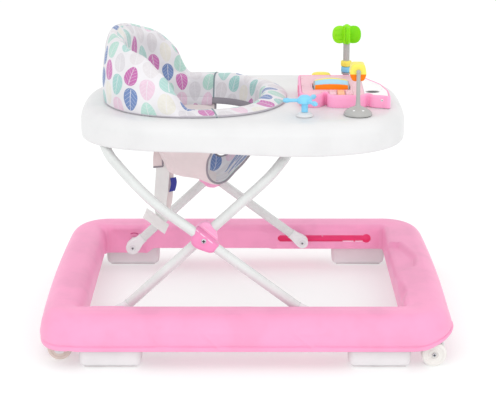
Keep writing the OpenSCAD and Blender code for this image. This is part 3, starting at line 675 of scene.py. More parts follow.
def build_ring():
    S = ring_stations()
    rows = []
    for xo, yo, xi, yi in S:
        O = np.array([xo, yo]); I = np.array([xi, yi])
        w = np.linalg.norm(I - O)
        d = (I - O) / w
        # castor sweep in the front corners
        side = -1 if yo < 0 else 1
        lift = 0.0
        if xo > 255:
            along = sm(262, 330, xo)
            back = 1 - sm(150, 232, 300 - abs(yo) + 0) if xo > 340 else 1.0
            lift = float(np.interp(xo, [262, 288, 300, 306, 312, 318, 326, 334, 343, 349, 353], [0, 0, 1.0, 2.4, 4.2, 6.2, 8.6, 11.4, 15.4, 21, 24])) * (1 - sm(78, 170, 300 - abs(yo)))
        rl = 0.0
        if xo < -300:
            rl = -4.6 * sm(285, 335, -xo) * (1 - sm(70, 150, 300 - abs(yo)))
        lift = lift + rl
        # lower edge of the inner wall
        zb = 45.0
        if abs(yi) > 217:
            zb = 46.0 - 11.0 * (1 - sm(-200, -180, xi)) - 3.0 * sm(40, 56, xi)
        P = [(5.0, 34.2), (4.0, 33.6), (2.6, 34.2), (1.9, 36), (1.6, 38.5), (1.7, 40.4), (2.9, 41.6), (3.2, 42.4), (1.9, 43.6), (0.9, 45.2), (0.3, 47.5)]
        P += arc(34, 50, 34, 42, 180, 90, 22)
        rr = 11.0 + 13.0 * float(sm(0.35, 1.0, d[0]))          # the rear rail rolls over more softly
        zc = 91.0 - 11.5 / 11.0 * rr
        zs = lambda z: zb + (z - zb) * (zc - zb) / (79.5 - zb)
        top = np.linspace(36.5, w - rr - 1.5, 15)
        P += [(q, 92.0 + 0.9 * math.sin(pi * (q - 34) / (w - 35 - rr)) * 0.6 - 1.0 * sm(w - 23 - rr, w - 1 - rr, q)) for q in top]
        P += [(w - rr + rr * math.cos(math.radians(a)), zc + 11.5 / 11.0 * rr * math.sin(math.radians(a))) for a in (84, 72, 58, 44, 30, 15, 0)]
        P += [(w + 0.05, zs(77.6)), (w + 0.1, zs(75.8)), (w + 0.1, zs(74)), (w + 0.2, zs(70)), (w + 0.3, zs(65)), (w + 0.4, zs(60)), (w + 0.5, zs(55)), (w + 0.6, zs(50.5)), (w + 0.6, zb + 1.2), (w - 0.2, zb), (w - 1.6, zb - 0.2), (w - 2.5, zb + 0.6)]
        P += [(w - 2.6, zs(55)), (w - 2.8, zs(66)), (w - 3, zs(78))]
        P += [(w - rr + (rr - 3) * math.cos(math.radians(a)), zc + (rr - 3) * (88 - zc) / (rr - 3) * math.sin(math.radians(a))) for a in (15, 35, 60, 85)]
        P += [(w - rr - 5, 88.2), (w - rr - 13, 88.6), (40, 88.7)] + arc(34, 50, 31, 38.6, 90, 180, 10) + [(3.9, 46), (5.2, 42), (5.0, 38)]
        row = []
        thin = float(sm(288, 303, xo)) * (1 - float(sm(78, 170, 300 - abs(yo))))     # room for the castor to turn
        for q, z in P:
            if q < 6 and z < 39.5:
                q = 1.6 + (q - 1.6) * (1 - 0.55 * thin) if q > 1.6 else q
            elif 3.5 < q < 6 and z < 47:
                q = q - (q - 3.3) * 0.5 * thin
            if z < 66 and q < w * 0.5:
                t = (66 - z) / 32.0
                z2 = z + lift * t
                q2 = q + ((-5.4 if yo < 0 else -2.0) * (lift / 24.0) * sm(0.55, 1.0, t) if xo > 0 else rl * 0.5 * sm(0.2, 0.8, t))
            else:
                z2, q2 = z, q
            p = O + d * q2
            row.append([p[0], p[1], z2])
        rows.append(row)
    A = np.array(rows)
    npf = A.shape[1]
    # panels of the long inner walls: the middle stands a little proud
    X, Y, Z = A[..., 0], A[..., 1], A[..., 2]
    Pq = np.linalg.norm(A[..., :2] - S[:, None, :2], axis=2)
    W = np.linalg.norm(S[:, 2:] - S[:, :2], axis=1)[:, None]
    far = (np.abs(S[:, 3]) > 217)[:, None] & (np.abs(S[:, 1]) > 299)[:, None]
    inner = sm(W - 14, W - 2, Pq) * (Z < 90)
    edge = 13 + 40 * sm(92, 76, Z)            # the slot panel's curved edge
    mid = sm(-207, -193, X) * (1 - sm(edge - 12, edge + 8, X))
    push = 4.6 * mid * inner * far * sm(94, 82, Z)
    A[..., 1] -= np.sign(Y) * push
    # a shelf over the rear pivot
    rear = (1 - sm(-212, -200, X)) * sm(-268, -256, X)
    A[..., 1] -= np.sign(Y) * 3.4 * rear * far * sm(W - 16, W - 6, Pq) * sm(80.5, 83.5, Z) * (Z < 91) * (Pq > W - 13)
    A[..., 1] += np.sign(Y) * 1.8 * rear * far * sm(W - 3.5, W - 0.5, Pq) * (1 - sm(70, 80, Z)) * sm(46, 54, Z)
    # front grip hollows
    def hollow(D, depth, fall):
        yy = Y
        xe = np.interp(yy, D[::-1, 0], D[::-1, 1], left=0, right=0)
        return depth * sm(0, fall, xe - X) * (xe > 1)
    fr = (S[:, 0] > 330)[:, None] & (X > 240)
    upper = (Z > 60)
    h = hollow(D1, 8.5, 11.0) + hollow(D2, 8.5, 9.0)
    A[..., 2] -= np.where(fr & upper, h * sm(60, 80, Z), 0)
    # moulded wave lines low on both long outer sides
    near = (np.abs(S[:, 1]) > 299)[:, None] & (Pq < 30)
    for wv in WAVES:
        Q = cr(np.array(wv, float), 24)
        dist = np.full(X.shape, 1e9)
        for a, b in zip(Q[:-1], Q[1:]):
            ab = b - a; L = ab @ ab
            t = np.clip(((X - a[0]) * ab[0] + (Z - a[1]) * ab[1]) / L, 0, 1)
            dd = np.hypot(X - a[0] - t * ab[0], Z - a[1] - t * ab[1])
            dist = np.minimum(dist, dd)
        g = np.exp(-(dist / 2.2) ** 2) * 1.6
        step = sm(-1.5, 1.5, X - np.interp(Z, Q[::-1, 1], Q[::-1, 0])) * (Z < 64) * np.exp(-((X - Q[:, 0].mean() - 10) / 30.0) ** 2) * 0.8
        A[..., 1] += np.where(near, np.sign(Y) * (g - step * (Z > 43)), 0)
    ob = loft("base_ring", A, M["pink"], wrap_rows=True, cap=False)
    # slots for the frame's slider, with the hole at the front end
    cut = []
    for s in (-1, 1):
        pts = [(66, 58.0), (228.5, 58.0)] + [(236 + 9 * math.cos(math.radians(a)), 64.5 + 9 * math.sin(math.radians(a))) for a in range(-140, 141, 14)] + [(228.5, 71.0), (66, 71.0)]
        pts = pts[:2] + pts[2:-2] + pts[-2:] + [(62.5, 68.0), (61, 64.5), (62.5, 61.0)]
        cut.append(prism("cut", pts, s * 214, s * 236, "y", M["deep"]))
        cut.append(prism("cut", arc(-221, 60, 4.3, 4.3, 0, 345, 23), s * 214, s * 236, "y", M["deep"]))
    boolean(ob, cut)
    for p in ob.data.polygons:
        p.use_smooth = True
    sharpen(ob, 50)
    return ob

PIV = (-221.0, 60.0)
ring = build_ring()
put(ring, "base", "pink_plastic", "base_shell")
# posts and sockets under the ring
bits = []
for s in (-1, 1):
    bits.append(lathe("p", [(5.05, 46), (9.5, 46), (9.5, 56.5), (6.8, 64), (5.7, 68.6), (5.05, 68.6)], (322, s * 264, 0), "z", M["pink"], 32))
    bits.append(lathe("p", [(2.1, 66), (6, 66), (6, 88.5), (2.1, 88.5)], (-315, s * 240, 0), "z", M["pink"], 28))
    for x in (-250, -203, 199, 246):
        bits.append(lathe("p", [(1.9, 44), (5, 44), (5, 88.5), (1.9, 88.5)], (x, s * 268, 0), "z", M["pink"], 24))
    for x in (-282, -120, 60, 150, 285):      # stiffening ribs under the moulding
        bits.append(prism("r", [(s * 296.5, 50), (s * 294, 62), (s * 286, 76), (s * 272, 86), (s * 250, 88), (s * 232, 86.5), (s * 232, 66), (s * 262, 60)], x - 1.1, x + 1.1, "x", M["pink"]))
    for xa, xb in ((189.5, 211), (214.5, 229)):    # raised strips on the slot's lower lip, painted light pink as highlight
        bits.append(prism("s", [(xa, 58.2), (xb, 58.2), (xb, 59.9), (xa, 59.9)], min(s * 223.4, s * 228.5), max(s * 223.4, s * 228.5), "y", M["pink_edge"]))
    # a dark pink arc above the pivot as painted shadow of the notch
    bits.append(sweep("a", [(PIV[0] + 15.4 * math.cos(math.radians(a)), s * 226.0, PIV[1] + 15.4 * math.sin(math.radians(a))) for a in range(62, 119, 8)], 0.85, M["pink_rec"], 8))
posts = join("ring_posts", bits)
put(posts, "base", "pink_plastic")

# brake pads: frosted blocks with soft corners
def brake_pads():
    bits = []
    for s in (-1, 1):
        for x in (-226.5, 222.5):
            rows = []
            for z, ins in [(43.6, 2.2), (43.6, 0.0), (30, 0.0), (16, 0.2), (9, 0.8), (6, 2.2), (4.2, 4.6), (3.3, 8.0), (3.2, 12.0)]:
                w, h, r = 105 - 2 * ins, 38 - 2 * ins * 0.8, max(3.0, 11 - ins)
                pts = []
                for cx, cy, a in ((w / 2 - r, h / 2 - r, 0), (-w / 2 + r, h / 2 - r, 90), (-w / 2 + r, -h / 2 + r, 180), (w / 2 - r, -h / 2 + r, 270)):
                    pts += arc(cx, cy, r, r, a, a + 90, 7)
                rows.append([(x + p[0], s * 269 + p[1], z) for p in pts])
            inner = []
            for z in (6.0, 43.6):
                w, h, r = 99.5, 32.5, 8
                pts = []
                for cx, cy, a in ((w / 2 - r, h / 2 - r, 0), (-w / 2 + r, h / 2 - r, 90), (-w / 2 + r, -h / 2 + r, 180), (w / 2 - r, -h / 2 + r, 270)):
                    pts += arc(cx, cy, r, r, a, a + 90, 7)
                inner.append([(x + p[0], s * 269 + p[1], z) for p in pts])
            bits.append(loft("b", [inner[1]] + rows + [], M["pad"], cap=True, autosmooth=40))
            for q in (-23.5, 23.5):
                bits.append(lathe("b", [(1.9, 3.1), (4.2, 3.1), (4.6, 3.4), (4.6, 5), (1.9, 5)], (x + q, s * 268, 0), "z", M["pad"], 24))
    return join("brake_pad_blocks", bits)
put(brake_pads(), "base", "white_plastic", "brake_pads")

def soles():
    bits = []
    for s in (-1, 1):
        for x in (-226.5, 222.5):
            for q in (-11, 11):
                rows = []
                for z, ins in ((3.25, 0), (2.2, 0), (1.7, 0.5), (1.6, 1.0)):
                    pts = []
                    w, h, r = 88 - 2 * ins, 9 - 2 * ins, 3
                    for cx, cy, a in ((w / 2 - r, h / 2 - r, 0), (-w / 2 + r, h / 2 - r, 90), (-w / 2 + r, -h / 2 + r, 180), (w / 2 - r, -h / 2 + r, 270)):
                        pts += arc(cx, cy, r, r, a, a + 90, 4)
                    rows.append([(x + p[0], s * 269 + q + p[1], z) for p in pts])
                bits.append(loft("s", rows, M["sole"], cap=True, autosmooth=40))
    return join("brake_pad_rubber", bits)
put(soles(), "base", "sole_rubber", "brake_pad_soles")

# ------------------------------------------------------------------ wheels
def wheel_profile(r, w, bore):
    e = w / 2
    P = [(bore, -e + 1.6), (6.2, -e + 1.6), (6.8, -e + 0.2), (7.6, -e), (8.8, -e + 0.3), (9.6, -e + 1.2), (14.6, -e + 1.2), (15.6, -e + 0.4), (16.6, -e)]
    P += [(r - 3 + 3 * math.cos(math.radians(a)), -e + 3 + 3 * math.sin(math.radians(a))) for a in (-75, -50, -25, -5)]
    P += [(r, -e * 0.35), (r, e * 0.35)]
    P += [(r - 3 + 3 * math.cos(math.radians(a)), e - 3 + 3 * math.sin(math.radians(a))) for a in (5, 25, 50, 75)]
    P += [(16.6, e), (15.6, e - 0.4), (14.6, e - 1.2), (9.6, e - 1.2), (8.8, e - 0.3), (7.6, e), (6.8, e - 0.2), (6.2, e - 1.6), (bore, e - 1.6)]
    return P

def wheel(name, c, w, mat, bore=3.05, spokes=5):
    bits = [lathe(name, wheel_profile(21.0, w, bore), c, "y", mat, 96, 28)]
    e = w / 2
    for sgn in (-1, 1):
        for k in range(spokes):
            a = 2 * pi * k / spokes + 0.3
            ca, sa = math.cos(a), math.sin(a)
            pts = [(9.0, -1.3), (15.2, -1.0), (15.2, 1.0), (9.0, 1.3)]
            pts = [(c[0] + p[0] * ca - p[1] * sa, c[2] + p[0] * sa + p[1] * ca) for p in pts]
            y0, y1 = c[1] + sgn * (e - 2.6), c[1] + sgn * (e - 0.8)
            bits.append(prism("s", pts, min(y0, y1), max(y0, y1), "y", mat))
    return join(name, bits)

for nm, s in (("right", -1), ("left", 1)):
    # rear wheels in the shaded copy of the wheel white (painted shade)
    put(wheel("rear_tyre_" + nm, (-315, s * 240, 21), 16, M["wheel2"]), "rear_wheel_" + nm, "wheel_white", "rear_wheel_" + nm)
    pair = join("caster_discs_" + nm, [wheel("d", (314, s * 264 + q * 9.3, 21), 9.6, M["wheel"], 2.94) for q in (-1, 1)])
    put(pair, "caster_wheels_" + nm, "wheel_white", "caster_wheels_" + nm)

def screw_head(c, r, h, axis, sign, mat, slotw=0.9):
    """Domed head with a cross recess; axis 'y' or 'z', sign gives the way it faces."""
    prof = [(0.0, 0.0), (r, 0.0), (r, h * 0.35), (r * 0.86, h * 0.75), (r * 0.6, h), (0.0, h)]
    prof = [(a, sign * b) for a, b in prof]
    ob = lathe("h", prof, c, axis, mat, 28, 40, closed=False)
    cut = []
    L = r * 0.62
    for a, b in ((L, slotw / 2), (slotw / 2, L)):
        z0, z1 = sign * h * 0.35, sign * h * 1.6
        pts = [(-a, -b), (a, -b), (a, b), (-a, b)]
        if axis == "y":
            cut.append(prism("c", [(c[0] + p[0], c[2] + p[1]) for p in pts], c[1] + min(z0, z1), c[1] + max(z0, z1), "y", M["dark"]))
        else:
            cut.append(prism("c", [(c[0] + p[0], c[1] + p[1]) for p in pts], c[2] + min(z0, z1), c[2] + max(z0, z1), "z", M["dark"]))
    boolean(ob, cut)
    fl_ = []                                   # shaded floor of the recess
    for a, b in ((L * 1.0, slotw / 2), (slotw / 2, L * 1.0)):
        z0, z1 = sign * h * 0.36, sign * h * 0.62
        pts = [(-a, -b), (a, -b), (a, b), (-a, b)]
        i, j, ax_ = (0, 2, "y") if axis == "y" else (0, 1, "z")
        k_ = 1 if axis == "y" else 2
        fl_.append(prism("c", [(c[i] + p[0], c[j] + p[1]) for p in pts], c[k_] + min(z0, z1), c[k_] + max(z0, z1), ax_, M["dark"]))
    return join("h", [ob] + fl_)

def casters():
    for nm, s in (("right", -1), ("left", 1)):
        y = s * 264
        bits = []
        plate = [(-17, 21), (-14.5, 14.6), (-8, 12), (-1.5, 14.6), (2, 20), (9, 31), (7.6, 43.4), (-7.6, 43.4), (-10.6, 38), (-15, 30)]
        plate = [tuple(p) for p in cr(np.array(plate + plate[:1], float), 60)[:-1]]
        b = prism("f", [(322 + p[0], p[1]) for p in plate], y - 3.9, y + 3.9, "y", M["cap"]); bevel(b, 0.9, 2, 40)
        bits.append(b)
        hood = []
        for i in range(13):                       # curved guard over the two discs
            a = math.radians(50 + 36 * i / 12)
            hood.append((314 + 23.2 * math.cos(a), 21 + 23.2 * math.sin(a)))
        hood += [(314 + 22.0 * math.cos(math.radians(50 + 36 * i / 12)), 21 + 22.0 * math.sin(math.radians(50 + 36 * i / 12))) for i in range(12, -1, -1)]
        b = prism("f", hood, y - 7.0, y + 7.0, "y", M["cap"]); bevel(b, 0.4, 2, 40)
        bits.append(b)
        bits.append(lathe("f", [(0, 43), (7.8, 43), (8.3, 43.6), (8.3, 46), (7.8, 46.6), (5.0, 46.7), (5.0, 63.6), (4.4, 65.2), (0, 65.2)], (322, y, 0), "z", M["cap"], 40, closed=False))
        put(join("caster_bracket_" + nm, bits), "caster_" + nm, "white_plastic", "caster_fork_" + nm)
        ax = [lathe("a", [(0, -14.2), (2.9, -14.2), (2.9, 14.2), (0, 14.2)], (314, y, 21), "y", M["steel"], 24, closed=False)]
        for q in (-1, 1):
            ax.append(screw_head((314, y + q * 14.0, 21), 3.6, 1.9, "y", q, M["screwl"], 1.5))
        put(join("caster_axle_pin_" + nm, ax), "caster_wheels_" + nm, "zinc_steel", "caster_axle_" + nm)
casters()

def rear_brackets():
    bits = []
    for s in (-1, 1):
        for q in (-1, 1):
            P = [(-8.5, 17), (-6, 13.6), (0, 12.4), (6, 13.6), (8.5, 17), (11, 40), (15, 62), (15, 66), (-15, 66), (-15, 62), (-11, 40)]
            b = prism("b", [(-315 + p[0], p[1]) for p in P], s * 240 + q * 10.6 - 1.5, s * 240 + q * 10.6 + 1.5, "y", M["cap"]); bevel(b, 0.7, 2, 30)
            bits.append(b)
        b = prism("b", [(-330, s * 240 - 12), (-300, s * 240 - 12), (-300, s * 240 + 12), (-330, s * 240 + 12)], 63, 66, "z", M["cap"]); bevel(b, 0.6, 2, 30)
        bits.append(b)
    return join("rear_brackets", bits)
put(rear_brackets(), "base", "white_plastic", "rear_wheel_brackets")
bits = []
for s in (-1, 1):
    bits.append(lathe("a", [(0, -12.6), (2.95, -12.6), (2.95, 12.6), (0, 12.6)], (-315, s * 240, 21), "y", M["steel"], 24, closed=False))
    for q in (-1, 1):
        bits.append(screw_head((-315, s * 240 + q * 12.4, 21), 3.8, 1.9, "y", q, M["screwl"], 1.4))
put(join("rear_axle_pins", bits), "base", "zinc_steel", "rear_axles")

# ------------------------------------------------------------------ scissor frame
PB, PA, H, AT, BT = np.array([-221, 60.]), np.array([109, 64.]), np.array([-71, 201.]), np.array([-245, 375.]), np.array([73, 375.])
dB = unit([H[0] - PB[0], 0, H[1] - PB[1]]); dA = unit([H[0] - PA[0], 0, H[1] - PA[1]])
def bent(P, B, nb=12):
    P = [np.array(p, float) for p in P]
    out = [P[0]]
    for i in range(1, len(P) - 1):
        d0, d1 = unit(P[i] - P[i - 1]), unit(P[i + 1] - P[i])
        t = math.acos(max(-1, min(1, float(d0 @ d1))))
        if B[i] < 1 or t < 1e-3:
            out.append(P[i]); continue
        nrm = unit(d1 - d0 * (d0 @ d1))
        c = P[i] - d0 * B[i] * math.tan(t / 2) + nrm * B[i]
        for k in range(nb + 1):
            a = t * k / nb
            out.append(c - nrm * B[i] * math.cos(a) + d0 * B[i] * math.sin(a))
    out.append(P[-1])
    # even out long straight runs
    Q = [out[0]]
    for a, b in zip(out[:-1], out[1:]):
        n = max(1, int(np.linalg.norm(b - a) // 24))
        for k in range(1, n + 1):
            Q.append(a + (b - a) * k / n)
    return np.array(Q)

v3 = lambda p, y, d, s: np.array([p[0], y, p[1]], float) + d * s
# each leg is straight up to the hub and then bends slowly up and inward to its cross bar
inner_pts = [v3(H, 187, dB, 38)] + [np.array(p, float) for p in ((-22, 187, 246.6), (-0.5, 186.4, 266.4), (17, 184.6, 282), (35.3, 181, 298.8), (46.6, 176.5, 310.2), (57.6, 170.5, 322.4), (66.6, 163.6, 333.6), (71.8, 155.8, 349), (73.2, 147.5, 365), (73, 141.5, 372.6), (73, 134, 375))]
outer_pts = [v3(H, 207, dA, 38)] + [np.array(p, float) for p in ((-122, 206, 239.2), (-141.3, 203, 253), (-160.5, 198, 268.4), (-180.3, 191, 286), (-198.8, 181.5, 303.2), (-215, 170, 318.6), (-229.6, 156, 332.4), (-239.4, 140, 346.6), (-244.2, 126, 361), (-245, 114, 371.8), (-245, 104, 375))]

def leg(name, lo, pts, mat):
    a = [lo + (pts[0] - lo) * t for t in np.linspace(0, 1, 10)[:-1]]
    ext = [pts[0] * 2 - pts[1]] + pts
    c = cr(np.array(ext, float), 132)
    k = int(np.argmin(np.linalg.norm(c - pts[0], axis=1)))
    o = sweep(name, np.array(a + list(c[k:])), 8.5, mat, n=36, ref=(0, 1, 0.05))
    return sharpen(o, 50)
for nm, s in (("left", 1), ("right", -1)):
    f = np.array([1, s, 1])
    put(leg("inner_tube_" + nm, v3(PB, 187, dB, 16) * f, [p * f for p in inner_pts], M["enamel"]), "inner_frame", "white_enamel", "inner_leg_" + nm)
    put(leg("outer_tube_" + nm, v3(PA, 207, dA, 16) * f, [p * f for p in outer_pts], M["enamel"]), "outer_frame", "white_enamel", "outer_leg_" + nm)

def cross(name, x, z, half):
    bits = [lathe("c", [(8.42, -half), (8.5, -half + 0.3), (8.5, half - 0.3), (8.42, half), (7.2, half), (7.2, -half)], (x, 0, z), "y", M["enamel"], 40)]
    for s in (-1, 1):                      # swaged collars near the joints
        y = s * (half - 9)
        bits.append(lathe("c", [(8.4, y - 4), (9.1, y - 3.4), (9.1, y + 3.4), (8.4, y + 4)], (x, 0, z), "y", M["enamel"], 40))
    return join(name, bits)
put(cross("inner_bar", BT[0], BT[1], 134), "inner_frame", "white_enamel", "inner_crossbar")
put(cross("outer_bar", AT[0], AT[1], 104), "outer_frame", "white_enamel", "outer_crossbar")

def end_cap(name, P, d, y, inward):
    """Moulded teardrop end: a flat disc at the pivot that narrows into a sleeve over the tube."""
    u = np.array([0, 1.0, 0]); w = np.cross(d, u)
    rows = []
    R0 = 13.2 if abs(y) < 200 else 11.6
    ts = list(-R0 * np.cos(np.linspace(0, pi / 2, 12))) + list(np.linspace(1.5, 27, 20))
    for t in ts:
        if t <= 3:
            a = math.sqrt(max(R0 * R0 - t * t, 0.04))
        else:
            a = 9.4 + (math.sqrt(R0 * R0 - 9) - 9.4) * (1 - sm(3, 19, t))
        b = 9.4
        e = 2 / (9 - 7 * sm(5, 24, t))
        ring_ = []
        for k in range(48):
            c, s_ = math.cos(2 * pi * k / 48), math.sin(2 * pi * k / 48)
            q = a * math.copysign(abs(c) ** e, c)
            r = b * math.copysign(abs(s_) ** e, s_)
            if t < -6:
                r *= 1 - 0.10 * sm(6, 14, -t)
            ring_.append(np.array([P[0], y, P[1]]) + d * t + w * q + u * r)
        rows.append(ring_)
    body = loft(name, rows, M["cap"], autosmooth=42)
    yy = y + inward * 9.4
    ring2 = lathe("r", [(5.2, 0.4 * -inward), (5.2, 0.5 * inward), (6.0, 1.3 * inward), (8.6, 1.3 * inward), (9.4, 0.5 * inward), (9.4, 0.4 * -inward)], (P[0], yy, P[1]), "y", M["cap"], 40)
    lip = sweep("l", [np.array([P[0], y, P[1]]) + d * 27 + 9.2 * (math.cos(a) * w + math.sin(a) * u) for a in np.linspace(0, 2 * pi, 48, endpoint=False)], 0.7, M["cap"], 8, closed=True)
    return join(name, [body, ring2, lip])
for nm, P, d, y, body, node in (("inner", PB, dB, 187, "inner_frame", "inner_end_caps"), ("outer", PA, dA, 207, "outer_frame", "outer_end_caps")):
    caps = [end_cap("cap", P, d, s * y, -s) for s in (-1, 1)]
    put(join(nm + "_leg_caps", caps), body, "white_plastic", node)

def pins(name, P, y, tail):
    bits = []
    for s in (-1, 1):
        yi = s * (y - 10)
        bits.append(lathe("p", [(0, s * (y - 9)), (4, s * (y - 9)), (4, s * 229), (0, s * 229)], (P[0], 0, P[1]), "y", M["steel"], 24, closed=False))
        bits.append(lathe("p", [(1.0, s * 0.4), (5.0, s * 0.4), (5.0, -s * 0.5), (4.2, -s * 1.0), (1.0, -s * 1.0)], (P[0], yi, P[1]), "y", M["cap"], 28))
        bits.append(screw_head((P[0], yi - s * 0.9, P[1]), 3.0, 1.6, "y", -s, M["screwl"], 1.3))
        bits += tail(s)
    return join(name, bits)
put(pins("rear_pivot_pin_set", PB, 187, lambda s: [lathe("p", [(4.0, s * 197.8), (7.6, s * 197.8), (8, s * 198.4), (8, s * 225.2), (7.6, s * 225.8), (4, s * 225.8)], (PB[0], 0, PB[1]), "y", M["cap"], 32),
    lathe("p", [(4.0, s * 229.2), (7.5, s * 229.2), (7.5, s * 232.4), (6.8, s * 233), (0, s * 233)], (PB[0], 0, PB[1]), "y", M["steel"], 28, closed=False)]), "base", "zinc_steel", "rear_pivot_pins")
put(pins("slider_pin_set", PA, 207, lambda s: [lathe("p", [(4.0, s * 217.4), (6.2, s * 217.4), (6.2, s * 222.0), (4, s * 222.0)], (PA[0], 0, PA[1]), "y", M["cap"], 32),
    lathe("p", [(3.0, s * 229), (4, s * 229), (4, s * 233), (8, s * 233.2), (8, s * 237.2), (7, s * 238), (0, s * 238)], (PA[0], 0, PA[1]), "y", M["steel"], 28, closed=False)]), "outer_frame", "zinc_steel", "slider_pins")

HO = [(-13.3, 20.1), (-17.0, 15.5), (-20.4, 8.6), (-21.8, 2.0), (-20.8, -6.0), (-16.0, -12.2), (-8.5, -16.4), (0.5, -19.6), (9.4, -22.4), (15.5, -21.6), (21.6, -16.8), (25.1, -8.2), (19.3, -3.1), (6.8, 7.7), (-3.7, 16.7), (-10.6, 22.4)]
HI = [(-13.3, 17.6), (-8.0, 22.2), (-1.6, 25.8), (4.8, 26.8), (11.0, 23.0), (17.4, 14.0), (22.0, 5.2), (23.4, -6.0), (19.5, -15.0), (10.5, -21.0), (-1.0, -20.5), (-12.0, -15.5), (-20.0, -7.0), (-21.0, 4.0), (-18.0, 12.0)]
def hub():
    out_, inn = [], []
    HOp = smooth_poly(dense([(a * (1.0 if b > -4 else 1.05), b * (1.0 if b > -4 else 1.05)) for a, b in HO[::-1]], 1.2), 3); HIp = smooth_poly(dense(HI[::-1], 1.4), 6)
    ra, rb = np.array([-13.3, 20.1]), np.array([22.8, -10.4])
    tan = unit(rb - ra); nrm = np.array([-tan[1], tan[0]])
    if nrm[1] < 0:
        nrm = -nrm
    for s in (-1, 1):
        rows = []
        for dy, g in [(-9.7, 0.8), (-5, 0.2), (1.0, 0.0), (4.5, 0.5), (7.4, 2.0), (9.2, 4.4), (10.2, 8.0)]:
            Q = HOp * 1.0
            L = np.linalg.norm(Q, axis=1)[:, None]
            Q = Q * (1 - g * sm(2, 14, L) / np.maximum(L, 1e-6))
            rows.append([(H[0] + p[0], s * (207 + dy), H[1] + p[1]) for p in Q])
        out_.append(loft("h", rows, M["pink2"], autosmooth=50))
        # raised edge along the tube, painted in a light pink as highlight
        c0 = np.array([H[0], H[1]]) + (ra + rb) / 2
        path = [(c0[0] + tan[0] * t + nrm[0] * (-0.4), s * (207 + 9.7 - 0.00016 * abs(t) ** 3), c0[1] + tan[1] * t + nrm[1] * (-0.4)) for t in np.linspace(-22.4, 22.6, 18)]
        out_.append(sweep("h", path, 0.95, M["pink_edge"], 10))
        out_.append(lathe("h", [(3.2, s * 10.0), (7.4, s * 10.0), (7.4, s * 10.9), (6.8, s * 11.3), (3.2, s * 11.0)], (H[0], s * 207, H[1]), "y", M["pink2"], 36))
        # inner cover: larger and lighter, with ribs beside the tube
        rows = []
        for dy, g in [(9.8, 1.4), (8.6, 0.3), (4, 0.0), (-3, 0.2), (-7, 2.0), (-9.6, 5.0), (-10.4, 9.0)]:
            L = np.linalg.norm(HIp, axis=1)[:, None]
            Q = HIp * (1 - g / L)
            rows.append([(H[0] + p[0], s * (187 + dy), H[1] + p[1]) for p in Q])
        inn.append(loft("h", rows, M["pink_lite"], autosmooth=50))
        # the rib nearest the tube gets the painted highlight pink
        for q, a, b_ in ((13.2, -13.0, 17.5), (17.4, -9.5, 13.5), (21.4, -5.0, 9.0)):
            path = [(H[0] + nrm[0] * q + tan[0] * t, s * (187 + 9.3), H[1] + nrm[1] * q + tan[1] * t) for t in np.linspace(a, b_, 6)]
            inn.append(sweep("h", path, 0.75, M["pink_edge"] if q < 14 else M["pink_lite"], 8))
        for q in (-14, -7, 7, 14):               # small ribs on the inner boss
            wB = np.array([-dB[2], 0, dB[0]])
            c1 = np.array([H[0], s * (187 - 10.0), H[1]]) + wB * q
            L = math.sqrt(15.0 ** 2 - q * q)
            inn.append(sweep("h", [c1 + dB * t for t in (-L, -L * 0.3, L * 0.3, L)], 0.8, M["pink_lite"], 8))
    put(join("hub_outer_boss", out_), "outer_frame", "deep_pink_plastic", "hub_outer_covers")
    put(join("hub_inner_boss", inn), "inner_frame", "pale_pink_plastic", "hub_inner_covers")
    b = []
    for s in (-1, 1):
        b.append(lathe("b", [(0, s * 174), (3, s * 174), (3, s * 218.2), (0, s * 218.2)], (H[0], 0, H[1]), "y", M["steel"], 24, closed=False))
        b.append(screw_head((H[0], s * 217.6, H[1]), 4.4, 2.4, "y", s, M["screwl"], 2.0))
        b.append(screw_head((H[0], s * 176.8, H[1]), 4.4, 2.4, "y", -s, M["screwl"], 2.0))
    put(join("hub_bolt_set", b), "inner_frame", "zinc_steel", "hub_bolts")
hub()

# ------------------------------------------------------------------ tray
def tray_outline(i, n=240):
    out = []
    for k in range(n):
        t = 2 * pi * k / n
        c, s = math.cos(t), math.sin(t)
        p = 3.0 if c < 0 else 3.2
        u = math.copysign(abs(c) ** (2 / p), c); v = math.copysign(abs(s) ** (2 / p), s)
        x = -7 + (283 - i) * u
        out.append((x, (214 + 0.03 * x - i) * v))
    return np.array(out)
# resample by polar angle about the tray's middle so that outline and seat hole match
def polar(P, c, n, phase=0.0):
    P = np.asarray(P) - c
    a = np.unwrap(np.arctan2(P[:, 1], P[:, 0]))
    r = np.hypot(P[:, 0], P[:, 1])
    if a[-1] < a[0]:
        a, r = a[::-1], r[::-1]
    a = np.concatenate([a - 2 * pi, a, a + 2 * pi]); r = np.tile(r, 3)
    o = np.argsort(a)
    t = np.linspace(0, 2 * pi, n, endpoint=False) + phase
    rr_ = np.interp(t, a[o], r[o])
    return np.stack([rr_ * np.cos(t), rr_ * np.sin(t)], 1) + c

TC = np.array([-40.0, 0.0])
def seat_hole(g, n=400):
    t = 2 * pi * (np.arange(n) + 0.5) / n
    c, s = np.cos(t), np.sin(t)
    return np.stack([-85 + (137 + g) * np.sign(c) * np.abs(c) ** 0.85, (148 + g) * np.sign(s) * np.abs(s) ** 0.85], 1)

